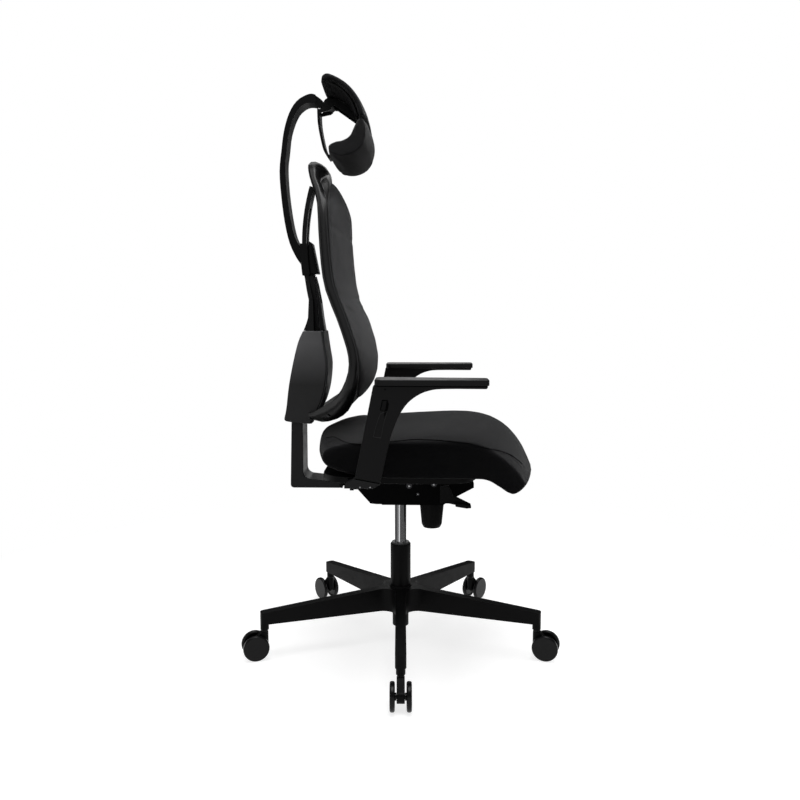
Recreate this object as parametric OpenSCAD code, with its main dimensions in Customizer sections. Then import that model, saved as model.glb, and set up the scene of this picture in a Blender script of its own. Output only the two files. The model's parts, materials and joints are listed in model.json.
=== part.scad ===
/* [Base] */
// Radius of the circle on which the caster stems stand
stem_circle_r = 339; // [325:1:350]
// Height of the arm tops at their tips
arm_tip_h = 111; // [107:1:115]
// Height of the arm tops at the hub
arm_hub_h = 140; // [136:1:146]
// Height of the arms' underside
arm_under_h = 83; // [80:1:86]
// Width of an arm
arm_w = 24; // [22:1:28]
// Radius of the fillets between the arms
arm_fillet_r = 30; // [24:1:36]
// Wall of the arms above and beside their ribbed underside
arm_wall = 4; // [3:0.5:5]
// Outer radius of the socket under an arm's tip
socket_r = 10; // [9:0.5:11]
// Height of the sockets' lower end
socket_low_h = 69; // [68:0.5:72]
// Outer radius of the skirt under the hub
hub_skirt_r = 20; // [19.5:0.5:24]
// Height of the skirt's lower end
hub_skirt_h = 40; // [36:1:44]
// Turn of the whole base about the column, in degrees
base_turn = 1.64; // [0:0.01:10]

/* [Casters] */
// Radius of a wheel
wheel_r = 30.7; // [28:0.1:31]
// Width of a wheel
wheel_w = 11; // [9:0.5:13]
// Free width between the two wheels of a caster
wheel_gap = 24; // [22:0.5:27]
// Distance of the wheel axle from the stem
caster_trail = 22.6; // [18:0.1:26]
// Width of the body between the wheels
caster_body_w = 17; // [14:0.5:18]
// Radius of the steel stem
stem_r = 5.5; // [5:0.1:6]
// Radius of the wheel axle
caster_axle_r = 4; // [3:0.1:5]

/* [Column] */
// Outer radius of the outer tube
tube_r = 25; // [24:0.5:28]
// Height of the tube's mouth
tube_top_h = 248; // [235:1:254]
// Radius of the chrome cylinder
cylinder_r = 14; // [13:0.1:14.5]
// Wall of the chrome cylinder
cylinder_wall = 3; // [2:0.5:4]
// Height of the cylinder's lower end
cylinder_low_h = 150; // [146:1:160]
// Radius of the piston rod
rod_r = 5; // [4:0.5:6]

/* [Mechanism] */
// Height of the housing's underside above the floor
mech_low_h = 358; // [350:1:370]
// Length of the housing
mech_len = 236; // [230:1:245]
// Height of the housing
mech_h = 54; // [52:1:58]
// Width over the housing's sides
mech_w = 120; // [116:1:130]
// Wall of the housing's sides
mech_wall = 6; // [4:0.5:7]
// Distance of the rear axle in front of the column
tilt_axle_x = 22; // [20:0.5:24]
// Radius of the rear axle
tilt_axle_r = 7; // [6:0.5:8]
// Distance of the front axle in front of the column
seat_axle_x = 81; // [78:0.5:84]
// Radius of the front axle
seat_axle_r = 6; // [5:0.5:7]
// Radius at which the tilt arm meets the housing's end
tilt_joint_r = 80; // [78:0.5:82]
// Largest radius of the tension knob
knob_r = 30; // [26:0.5:31]
// Height of the tension knob
knob_h = 64; // [54:1:70]
// Reach of the levers beyond the housing's side
lever_reach = 68; // [60:1:80]

/* [Back carrier] */
// Width of the angled back bar
bar_w = 80; // [70:1:84]
// Thickness of the bar's upright leg
bar_t = 31; // [28:0.5:31]
// Thickness of the bar's lying leg
bar_foot_t = 22; // [20:0.5:24]
// Thickness of the lying leg at its end
bar_end_t = 14; // [13:0.5:16]
// Distance of the bar's rear face behind the column
bar_rear = 265; // [262:1:266]
// Height of the bar's upright leg
bar_h = 296; // [290:1:300]

/* [Back] */
// Width of the rear housing
housing_w = 110; // [104:1:116]
// Height of the rear housing
housing_h = 220; // [214:1:226]
// Depth of the rear housing
housing_depth = 100; // [98:1:103]
// Wall of the rear housing
housing_wall = 3; // [2:0.5:4]
// Radius of the spine's outer curve
spine_r = 504; // [496:1:512]
// Thickness of the spine
spine_t = 10; // [8:0.5:12]
// Width of the spine where the clamp slides
spine_w = 50; // [46:1:56]
// Width of the slot in the spine
spine_slot_w = 24; // [16:1:30]
// Height of the back from the housing's foot to its top
back_h = 587; // [580:1:596]
// Depth that the back's curves take up
back_depth = 150; // [144:1:154]
// Half width of the frame, from its middle to the tube's middle
frame_half_w = 205; // [198:1:207]
// Radius of the frame's tube
frame_tube_r = 11.5; // [10:0.5:12]

/* [Headrest] */
// Width of the curved stem
stem_w = 50; // [44:1:60]
// Width of the headrest's pads
head_w = 270; // [240:1:290]
// Height of the headrest from its lowest to its highest point
head_h = 223; // [220:1:226]
// Depth of the headrest
head_depth = 124; // [120:1:128]
// Thickness of the upper pad
head_pad_t = 20; // [16:0.5:21]
// Thickness of the shell behind the pad
head_shell_t = 4; // [3:0.5:4.5]
// Width of the strap behind the pads
strap_w = 44; // [38:1:50]

/* [Seat] */
// Length of the cushion
seat_len = 519; // [510:1:524]
// Width of the cushion
seat_w = 490; // [470:1:500]
// Height of the cushion over the pan
seat_crown = 126; // [118:1:130]
// Distance of the cushion's rear end behind the column
seat_rear = 199; // [194:1:202]
// Thickness of the seat pan
pan_t = 14.7; // [12:0.1:18]
// Thickness of the steel carrier plate under the pan
carrier_t = 4; // [3:0.5:5]

/* [Armrests] */
// Distance of the sleeves' middle from the chair's middle
arm_y = 277; // [275:1:290]
// Thickness of a sleeve across the chair
sleeve_t = 30; // [28:0.5:34]
// Lean of the sleeves forward, in degrees
arm_lean = 11; // [9:0.5:13]
// Height of the arm pads' top above the floor
arm_top_h = 678; // [670:1:690]
// Length of an arm pad
arm_pad_len = 236; // [225:1:250]
// Width of an arm pad at its rear end
arm_pad_w = 80; // [70:1:86]
// Thickness of an arm pad
arm_pad_t = 12.5; // [11:0.5:14]
// Width of the steel column in a sleeve
arm_column_w = 40; // [34:1:42]
// Thickness of the steel column in a sleeve
arm_column_t = 10; // [8:0.5:12]

/* [Fits] */
// Radial clearance where a shaft turns or a rod slides
run_gap = 0.05; // [0.02:0.01:0.08]
// Gap between faces that only pass each other
face_gap = 0.3; // [0.2:0.05:0.4]

/* [Hidden] */
$fn = 48;
// Length by which every cut runs past the face that it opens
over = 1;
// Number of arms and casters, and the turn from one to the next
arm_count = 5;
arm_step = 360 / arm_count;
arm_first = -90 + base_turn;

// Base
tip_overhang = 9.5;
tip_corner_r = 7;
hub_flat_r = 50;
pocket_start_r = 72;
pocket_count = 6;
rib_t = 3;
socket_depth = 35;
stem_neck_r = 7.5;
stem_grip = 24;
caster_top_h = socket_low_h - 5;
caster_post_r = caster_body_w / 2;
caster_boss_r = 14;
wheel_edge_r = 4;
wheel_dish = 2.5;
wheel_hub_r = 8;
wheel_cap_t = 3;

// Column
neck_r = hub_skirt_r - 2.5;
tube_bore_r = cylinder_r + 1;
bush_r = tube_r - 6;
bush_h = 66;
bush_flange_r = tube_r - 2.5;
bush_flange_t = 4;
tube_floor_t = 4;
bearing_t = 4;
bearing_r = 12.5;
foot_t = 3;
foot_r = 12;
piston_h = 12;
seal_t = 12;
boss_h = 30;
boss_wall = 10;
boss_cone_h = 7;
cylinder_top_h = mech_low_h + boss_h;
cylinder_cap_t = 8;
rod_reserve = 28;
piston_low_h = cylinder_low_h + seal_t + rod_reserve;
pin_r = 3;
pin_up = 3.5;
pin_len = 19.5;

// Mechanism
mech_rear_x = -60;
mech_top_h = mech_low_h + mech_h;
mech_floor_t = 4;
mech_floor_shares = [[0, 0], [0.69, 0], [0.80, 0.33], [1, 0.80]];
mech_rear_share = 0.92;
mech_level_share = 0.5;
tilt_axle_up = 47;
seat_axle_up = 52;
tilt_axle_h = mech_low_h + tilt_axle_up;
seat_axle_h = mech_low_h + seat_axle_up;
rocker_pivot_x = 60;
rocker_front_x = 120;
rocker_rear_x = -6;
rocker_w = 14;
rocker_t = 3.2;
rocker_low_h = cylinder_top_h + pin_up + face_gap;
rocker_pin_r = 3;
rocker_pin_h = rocker_low_h + rocker_t / 2;
ear_t = 4;
ear_half = 6;
ear_rise = 5;
lever_shaft_x = 104;
lever_shaft_h = mech_low_h + 28;
lever_shaft_r = 4;
lever_finger = 13;
lever_hub_r = 10;
lever_plate_t = 12;
lever_blade_w = 24;
tilt_lever_x = 56;
tilt_lever_h = mech_low_h + 20;
tilt_lever_inner_y = 16;
spring_r = 15.5;
spring_from_y = 14;
spring_to_y = 40;
knob_top_gap = 4;
knob_back = 4;
knob_x = seat_axle_x - knob_back;
knob_foot_share = 0.83;
knob_foot_h = 8;
spindle_r = 5;
spindle_rise = 30;
screw_x = 43;
screw_up = 27;
big_head_r = 6.5;
big_head_t = 3.5;
small_head_r = 3.5;
small_head_t = 2;
washer_r = 7.5;
washer_t = 1.5;
hex_r = 6;
hex_t = 4;

// Tilt arm and back bar
cheek_in_y = 40;
cheek_t = 6;
cheek_r = 13;
cheek_h = 2 * cheek_r;
tilt_arm_w = mech_w - 6;
tilt_arm_wall = 9;
tilt_arm_rear_x = -129;
tilt_arm_shares = [[0, 1], [0, 0.98], [0.38, 0.69], [0.81, 0.03], [1, 0], [1.2, 0], [1.2, 1]];
tilt_web_t = 9;
link_x = -37;
link_up = 49;
link_r = 5;
link_play = 0.7;
link_slot = 8;
tongue_w = 60;
tongue_t = 5;
tongue_len = 52;
tongue_up = 40;
bar_low_h = mech_low_h + 36;
bar_end_x = -145;
bar_corner_r = 8;
bar_bend_r = 18;
bar_lean = 6;
bar_full_share = 0.78;
rail_w = 60;
rail_t = 14;
cap_t = 6;
cap_bevel = 4;

// Rear housing and spine
housing_low_h = bar_low_h + 158;
housing_rear_x = -275;
housing_rear_shares = [[0.13, 0.02], [0, 0.04], [0.03, 0.12], [0.06, 0.205], [0.12, 0.42], [0.23, 0.67],
    [0.35, 0.88], [0.47, 1]];
housing_front_shares = [[0.90, 1], [0.96, 0.80], [1.01, 0.636], [0.97, 0.42], [0.88, 0.26], [0.78, 0.155],
    [0.61, 0]];
cover_t = 9;
cover_proud = 4;
cover_inset = 16;
guide_w = 72;
guide_slot_w = 40;
guide_low_up = 26;
guide_top_up = 192;
spine_rear_x = -232;
spine_mid_x = spine_rear_x + spine_r;
spine_mid_up = 419;
spine_mid_h = housing_low_h + spine_mid_up;
spine_foot_a = -14.5;
spine_top_a = 16;
spine_foot_shares = [[-0.35, 0], [-0.2, 0.30], [0, 1], [1, 1], [1.25, 0.30], [1.2, 0]];
spine_foot_h = 100;
spine_taper_shares = [[2.05, 0], [2, 0.08], [1.5, 0.26], [1, 0.38], [1, 0.82], [0.88, 1.1]];
// The blade stands on the housing and the rail runs up its front, in depth and height over the foot
blade_shares = [[-1.565, 0], [-0.955, 0.114], [-0.385, 0.251], [-0.195, 0.361], [-0.215, 0.562],
    [-0.605, 0.818], [-1.165, 1], [1.065, 1], [1.355, 0.817], [1.715, 0.535], [1.935, 0.251], [2.235, 0]];
rail_shares = [[0.965, 1], [1.255, 0.817], [1.615, 0.535], [1.835, 0.251], [2.135, 0], [3.575, 0],
    [3.045, 0.251], [2.595, 0.539], [1.885, 0.828], [1.295, 1]];
blade_half_share = 0.44;
rail_half_share = 0.32;
spine_slot_from_up = 285;
spine_slot_to_up = 510;

// Back frame and cushion. The stations give depth, side and height, and the tube's two half widths.
frame_facing = -25;
frame_sides = 12;
frame_low_shares = [[-0.065, 0.31, 0.036, 1.13, 0.60], [0.065, 0.37, 0.034, 1.60, 0.60],
    [0.265, 0.51, 0.056, 2.0, 0.70], [0.455, 0.68, 0.092, 1.85, 0.80], [0.60, 0.87, 0.150, 1.45, 0.90],
    [0.69, 0.975, 0.225, 1.1, 1]];
frame_side_shares = [[0.69, 1, 0.290, 1, 1], [0.625, 1, 0.355, 1, 1], [0.525, 0.99, 0.430, 1, 1],
    [0.365, 0.975, 0.535, 1, 1], [0.305, 0.97, 0.627, 1, 1], [0.27, 0.94, 0.746, 1, 1],
    [0.238, 0.85, 0.848, 1, 1]];
frame_top_shares = [[0.13, 0.56, 0.94, 1.08, 1.05], [0.115, 0.36, 0.99, 2.2, 1.3],
    [0.112, 0.18, 1.009, 2.6, 1.3], [0.112, 0, 1.014, 2.6, 1.3]];
panel_shares = [[0.013, 0.009, 0.29], [0.18, 0.012, 0.36], [0.36, 0.032, 0.50], [0.487, 0.073, 0.66],
    [0.58, 0.107, 0.76]];
panel_t = 4;
panel_bow = 7;
panel_stations = 8;
cushion_front_shares = [[0, 0.66], [0.075, 0.66], [0.12, 0.80], [0.165, 0.90], [0.21, 0.95], [0.28, 0.955],
    [0.385, 0.855], [0.50, 0.68], [0.60, 0.61], [0.70, 0.58], [0.78, 0.58], [0.865, 0.55], [0.915, 0.48],
    [0.945, 0.40], [1, 0.36]];
cushion_rear_shares = [[0, 0.56], [0.10, 0.585], [0.17, 0.65], [0.29, 0.68], [0.355, 0.61], [0.43, 0.51],
    [0.535, 0.35], [0.627, 0.29], [0.746, 0.255], [0.848, 0.24], [0.90, 0.26], [1, 0.33]];
cushion_low_share = 0.105;
cushion_top_share = 0.937;
cushion_corner_share = 0.46;
cushion_edge_gap = 0;
cushion_levels = 18;
cushion_stations = 22;
seam_depth = 2.5;
seam_share = 0.023;
seam_heights_share = [0.506, 0.763];

// Headrest
head_rear_x = -177;
head_low_up = 143;
head_low_h = spine_mid_h + head_low_up;
head_pivot_x = -166;
head_pivot_up = 326;
head_pivot_h = spine_mid_h + head_pivot_up;
head_pin_r = 4;
head_barrel_r = 12;
head_lug_t = 6;
head_tongue_w = 31;
clamp_from_a = -7.75;
clamp_to_a = 0.68;
clamp_wall = 4;
wedge_t = 8;
clamp_side = 5;
stem_outer_shares = [[0, 0], [-0.13, 0.045], [-0.29, 0.13], [-0.40, 0.25], [-0.475, 0.405], [-0.505, 0.545],
    [-0.455, 0.66], [-0.39, 0.77], [-0.265, 0.87], [-0.08, 0.94], [0.16, 0.975], [0.32, 0.978], [0.47, 0.955],
    [0.58, 0.925]];
stem_inner_shares = [[0.62, 0.885], [0.42, 0.92], [0.20, 0.93], [0.02, 0.91], [-0.13, 0.865], [-0.27, 0.77],
    [-0.33, 0.66], [-0.37, 0.575], [-0.345, 0.435], [-0.265, 0.275], [-0.17, 0.17], [-0.06, 0.12]];
stem_box = [100, 401];
stem_foot = [spine_rear_x, -46];
stem_tongue_x = -196;
pad_outer_shares = [[0.02, 0.905], [0.04, 0.965], [0.14, 1], [0.28, 0.982], [0.476, 0.924], [0.629, 0.848],
    [0.758, 0.744], [0.835, 0.63], [0.858, 0.588]];
roll_rear_shares = [[0.161, 0.224], [0.113, 0.296], [0.10, 0.345], [0.202, 0.374], [0.331, 0.38],
    [0.476, 0.415], [0.565, 0.50], [0.637, 0.556], [0.677, 0.565]];
roll_front_shares = [[0.85, 0.547], [0.905, 0.46], [0.918, 0.37], [0.89, 0.285], [0.80, 0.21], [0.67, 0.163],
    [0.52, 0.148], [0.37, 0.165], [0.26, 0.20]];
roll_end_share = 0.6;
roll_end_power = 2.2;
head_stations = 15;
head_end_share = 0.55;
head_end_power = 5;
strap_t = 6;
strap_shares = [[-0.13, 0.765], [-0.12, 0.62], [-0.07, 0.46], [-0.012, 0.34], [0.078, 0.262]];
brace_low_share = 0.64;
brace_first = 6;
tooth_count = 8;
tooth_h = 2;

// Seat
carrier_low_h = mech_top_h + 24;
carrier_half_w = 75;
carrier_rear_x = -75;
carrier_front_x = 150;
carrier_ear_y = 44;
carrier_ear_t = 6;
carrier_ear_r = 11;
carrier_rear_ear_y = 30;
carrier_rear_ear_r = 9;
pan_low_h = carrier_low_h + carrier_t + face_gap;
pan_rear_x = -172;
pan_front_x = 176;
pan_half_w = 203;
pan_corner_r = 70;
rail_lip = 7;
rail_wall = 6;
rail_rear_x = -60;
rail_front_x = 125;
seat_base_h = pan_low_h + pan_t + face_gap;
seat_mid_top_shares = [[0, 0.30], [0.006, 0.52], [0.03, 0.665], [0.10, 0.765], [0.245, 0.86], [0.387, 0.92],
    [0.57, 0.97], [0.709, 0.985], [0.815, 0.89], [0.893, 0.68], [0.958, 0.34], [1, -0.06]];
seat_mid_low_shares = [[0.99, -0.22], [0.96, -0.33], [0.918, -0.367], [0.88, -0.27], [0.842, -0.13],
    [0.80, -0.02], [0.75, 0], [0.577, 0], [0.387, 0], [0.196, 0], [0.055, 0.02], [0.012, 0.14]];
seat_edge_top_shares = [[0.067, 0.36], [0.07, 0.47], [0.09, 0.56], [0.16, 0.66], [0.274, 0.67], [0.396, 0.69],
    [0.56, 0.70], [0.682, 0.68], [0.758, 0.585], [0.825, 0.40], [0.886, 0.155], [0.92, -0.06]];
seat_edge_low_shares = [[0.912, -0.13], [0.892, -0.215], [0.862, -0.268], [0.836, -0.23], [0.81, -0.15],
    [0.777, -0.065], [0.739, 0], [0.577, 0.01], [0.387, 0.01], [0.272, 0.04], [0.149, 0.12], [0.082, 0.24]];
seat_stations = 22;
seat_draw_share = 0.045;
seat_side_power = 1.5;

// Armrests
bracket_half_w = 30;
bracket_t = 6;
bracket_x = -80;
bracket_out = 4;
arm_ref_x = -66;
bracket_in_y = 95;
shoulder_gap = 1.5;
column_top_h = arm_top_h - 68;
sleeve_low_up = 25;
sleeve_slant = 5;
sleeve_w = 53;
arm_pad_over = 25;
arm_pad_nose_a = 80;
arm_pad_rear_x = -46;
arm_pad_front_w = 60;
arm_pad_corner_r = 14;
arm_pad_front_corner_r = 9;
sleeve_arch_shares = [[0.137, 0.458], [0.158, 0.533], [0.20, 0.665], [0.232, 0.74], [0.29, 0.838],
    [0.373, 0.918], [0.468, 0.968], [0.60, 0.99], [0.985, 0.99]];
arch_run = 236;
arch_rise = 195;
arm_screw_r = 2.5;
arm_screw_t = 1.5;
button_l = 20;
button_w = 9;
button_t = 5.7;
button_proud = 1;
button_travel = 3;
button_up = 0.746;
button_forward = 4;

// Points, curves and lofted shapes
function lerp(a, b, t) = a + (b - a) * t;
function at(list, i) = list[max(0, min(len(list) - 1, i))];
function unit(v) = v / norm(v);
function reversed(list) = [for (i = [len(list) - 1:-1:0]) list[i]];
// Point between b and c on the smooth curve that runs through a, b, c and d
function smooth(a, b, c, d, t) =
    b + 0.5 * t * (c - a + t * (2 * a - 5 * b + 4 * c - d + t * (3 * (b - c) + d - a)));
// Smooth curve through the points p, with n steps from one to the next
function curve(p, n) = concat(
    [for (i = [0:len(p) - 2], k = [0:n - 1]) smooth(at(p, i - 1), p[i], p[i + 1], at(p, i + 2), k / n)],
    [p[len(p) - 1]]);
// Shares turned into sizes
function placed(shares, origin, span) =
    [for (s = shares) [for (i = [0:len(origin) - 1]) origin[i] + s[i] * span[i]]];
// Arc of a circle from angle a to angle b
function arc(mid, r, a, b, n = 8) =
    [for (k = [0:n]) mid + r * [cos(lerp(a, b, k / n)), sin(lerp(a, b, k / n))]];

// Closed skin through rings of equal count, each of which turns clockwise along the row of rings
module loft(rings) {
    m = len(rings[0]);
    last = (len(rings) - 1) * m;
    sides = [for (i = [0:len(rings) - 2], j = [0:m - 1])
        let (a = i * m + j, b = i * m + (j + 1) % m)
        each [[a, a + m, b], [b, a + m, b + m]]];
    first_end = [for (j = [0:m / 2 - 2]) each [[j, j + 1, m - 1 - j], [j + 1, m - 2 - j, m - 1 - j]]];
    last_end = [for (f = first_end) [last + f[2], last + f[1], last + f[0]]];
    polyhedron([for (r = rings) each r], concat(first_end, sides, last_end), convexity = 6);
}

// Plate of an outline in side view, from y1 to y2 across the chair
module side_plate(points, y1, y2) {
    translate([0, y2, 0]) rotate([90, 0, 0]) linear_extrude(y2 - y1) polygon(points);
}

// Rod across the chair
module cross_rod(x, z, r, y1, y2) {
    translate([x, y2, z]) rotate([90, 0, 0]) cylinder(h = y2 - y1, r = r);
}

// The same piece on both sides of the chair
module both_sides() {
    children();
    mirror([0, 1, 0]) children();
}

// Block of the spine's curve between two radii and two angles, measured from the rear upwards
module spine_sector(r1, r2, a1, a2, w) {
    translate([spine_mid_x, 0, spine_mid_h]) mirror([1, 0, 0]) rotate([90, 0, 0]) rotate([0, 0, a1])
        rotate_extrude(angle = a2 - a1, $fn = 180) translate([r1, -w / 2]) square([r2 - r1, w]);
}

// Base
module arm_plan(inset, from_r, to_r) {
    half = arm_w / 2 - inset;
    translate([from_r, -half]) square([to_r - from_r, 2 * half]);
}

module star_plan() {
    far = (arm_w / 2 + arm_fillet_r) / sin(arm_step / 2);
    tip_r = stem_circle_r + tip_overhang;
    polygon([for (k = [0:arm_count - 1])
        let (a = arm_first + k * arm_step, d = [cos(a), sin(a)], n = [-sin(a), cos(a)],
            half = arm_w / 2 - tip_corner_r, mid = far * [cos(a + arm_step / 2), sin(a + arm_step / 2)])
        each concat(
            arc((tip_r - tip_corner_r) * d - half * n, tip_corner_r, a - 90, a, 5),
            arc((tip_r - tip_corner_r) * d + half * n, tip_corner_r, a, a + 90, 5),
            arc(mid, arm_fillet_r, a + 270, a + arm_step + 90, 8))]);
}

// Turned body whose section follows the slope of the arms, lowered by a wall
module arm_slope(wall, low_h) {
    tip_r = stem_circle_r + tip_overhang + over;
    rotate_extrude() polygon([[0, low_h], [0, arm_hub_h - wall], [hub_flat_r, arm_hub_h - wall],
        [tip_r, arm_tip_h - wall], [tip_r, low_h]]);
}

module base_star() color("#1d1e20") {
    step = (stem_circle_r - socket_r - pocket_start_r) / pocket_count;
    difference() {
        union() {
            intersection() {
                linear_extrude(arm_hub_h + over) star_plan();
                arm_slope(0, arm_under_h);
            }
            translate([0, 0, hub_skirt_h]) cylinder(h = arm_hub_h - hub_skirt_h, r = hub_skirt_r);
            for_arms() translate([stem_circle_r, 0, socket_low_h])
                cylinder(h = arm_under_h - socket_low_h + over, r = socket_r);
        }
        intersection() {
            linear_extrude(arm_hub_h) for (k = [0:arm_count - 1], i = [0:pocket_count - 1])
                rotate([0, 0, arm_first + k * arm_step])
                    arm_plan(arm_wall, pocket_start_r + i * step, pocket_start_r + (i + 1) * step - rib_t);
            arm_slope(arm_wall, arm_under_h - over);
        }
        translate([0, 0, hub_skirt_h - over]) cylinder(h = arm_hub_h, r = neck_r);
        for_arms() translate([stem_circle_r, 0, socket_low_h - over])
            cylinder(h = socket_depth + over, r = stem_r);
    }
}

// Children at each arm, with x along the arm
module for_arms() {
    for (k = [0:arm_count - 1]) rotate([0, 0, arm_first + k * arm_step]) children();
}

module caster_stems() color("#8d9094") {
    for_arms() translate([stem_circle_r, 0, 0]) {
        translate([0, 0, caster_top_h - stem_grip])
            cylinder(h = socket_low_h + socket_depth - caster_top_h + stem_grip, r = stem_r);
        translate([0, 0, caster_top_h + face_gap])
            cylinder(h = socket_low_h - caster_top_h - face_gap, r = stem_neck_r);
    }
}

// Children of one caster, with x along its arm and the stem's axis at the origin
module at_caster(k) {
    rotate([0, 0, arm_first + (k - 1) * arm_step]) translate([stem_circle_r, 0, 0]) children();
}

module caster_body(k) color("#17181a") at_caster(k) {
    half = caster_body_w / 2;
    axle_half = wheel_gap / 2 + wheel_w - wheel_cap_t - face_gap;
    difference() {
        union() {
            translate([0, 0, wheel_r]) cylinder(h = caster_top_h - wheel_r, r = caster_post_r);
            cross_rod(caster_trail, wheel_r, caster_boss_r, -half, half);
            side_plate([[0, wheel_r], [0, caster_top_h], [caster_post_r, caster_top_h],
                [caster_trail + caster_post_r, wheel_r + caster_boss_r * sin(50)], [caster_trail, wheel_r],
                [caster_trail, wheel_r - caster_post_r]], -half, half);
        }
        translate([0, 0, caster_top_h - stem_grip - over])
            cylinder(h = stem_grip + 2 * over, r = stem_r + run_gap);
        cross_rod(caster_trail, wheel_r, caster_axle_r, -half - over, half + over);
    }
    cross_rod(caster_trail, wheel_r, caster_axle_r, -axle_half, axle_half);
}

// Half section of a wheel: radius, then distance from the caster's middle
module wheel_section() {
    inner = wheel_gap / 2;
    outer = inner + wheel_w;
    hub_in = caster_body_w / 2 + face_gap;
    bore_end = outer - wheel_cap_t;
    bore = caster_axle_r + run_gap;
    rim = wheel_r - wheel_edge_r;
    polygon(concat([[0, outer], [0, bore_end], [bore, bore_end], [bore, hub_in], [wheel_hub_r, hub_in],
        [wheel_hub_r, inner + wheel_dish], [rim - wheel_dish, inner + wheel_dish], [rim, inner]],
        arc([rim, inner + wheel_edge_r], wheel_edge_r, -60, 0, 4),
        arc([rim, outer - wheel_edge_r], wheel_edge_r, 0, 75, 5)));
}

module caster_wheel(k, side) color("#101113") at_caster(k) {
    translate([caster_trail, 0, wheel_r]) rotate([-90 * side, 0, 0]) rotate_extrude($fn = 72) wheel_section();
}

// Column
module column_tube() color("#1b1c1e") {
    bush_seat_h = tube_top_h - bush_h;
    rotate_extrude() polygon([[neck_r, hub_skirt_h], [neck_r, arm_hub_h], [tube_r, arm_hub_h],
        [tube_r, tube_top_h - over], [tube_r - over, tube_top_h], [bush_r, tube_top_h], [bush_r, bush_seat_h],
        [tube_bore_r, bush_seat_h], [tube_bore_r, hub_skirt_h + tube_floor_t],
        [rod_r + run_gap, hub_skirt_h + tube_floor_t], [rod_r + run_gap, hub_skirt_h]]);
}

module column_bush() color("#c9cbcd") {
    bore = cylinder_r + run_gap;
    rotate_extrude() polygon([[bore, tube_top_h - bush_h], [bush_r, tube_top_h - bush_h],
        [bush_r, tube_top_h],
        [bush_flange_r, tube_top_h], [bush_flange_r - over, tube_top_h + bush_flange_t],
        [bore, tube_top_h + bush_flange_t]]);
}

module thrust_bearing() color("#9a9da1") {
    translate([0, 0, hub_skirt_h + tube_floor_t]) difference() {
        cylinder(h = bearing_t, r = bearing_r);
        translate([0, 0, -over]) cylinder(h = bearing_t + 2 * over, r = rod_r + run_gap);
    }
}

module piston_rod() color("#b4b7bb") {
    foot_h = hub_skirt_h + tube_floor_t + bearing_t + run_gap;
    translate([0, 0, hub_skirt_h]) cylinder(h = piston_low_h - hub_skirt_h, r = rod_r);
    translate([0, 0, foot_h]) cylinder(h = foot_t, r = foot_r);
    translate([0, 0, piston_low_h]) cylinder(h = piston_h, r = cylinder_r - cylinder_wall - run_gap);
}

module gas_cylinder() color("#aeb1b5") {
    bore = cylinder_r - cylinder_wall;
    rod_hole = rod_r + run_gap;
    pin_hole = pin_r + run_gap;
    rotate_extrude() polygon([[rod_hole, cylinder_low_h], [cylinder_r, cylinder_low_h],
        [cylinder_r, cylinder_top_h], [pin_hole, cylinder_top_h], [pin_hole, cylinder_top_h - cylinder_cap_t],
        [bore, cylinder_top_h - cylinder_cap_t], [bore, cylinder_low_h + seal_t],
        [rod_hole, cylinder_low_h + seal_t]]);
}

module release_pin() color("#d0d2d4") {
    translate([0, 0, cylinder_top_h + pin_up - pin_len]) cylinder(h = pin_len, r = pin_r);
}

// Mechanism
mech_outer = concat([[mech_rear_x, mech_low_h + mech_rear_share * mech_h]],
    placed(mech_floor_shares, [mech_rear_x, mech_low_h], [mech_len, mech_h]),
    [[mech_rear_x + mech_len, mech_top_h], [mech_rear_x + mech_level_share * mech_len, mech_top_h]]);
mech_inner = concat([[mech_rear_x - mech_wall, mech_top_h + over]],
    placed(mech_floor_shares, [mech_rear_x - mech_wall, mech_low_h + mech_floor_t], [mech_len, mech_h]),
    [[mech_rear_x + mech_len - mech_wall, mech_top_h + over]]);

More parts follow.
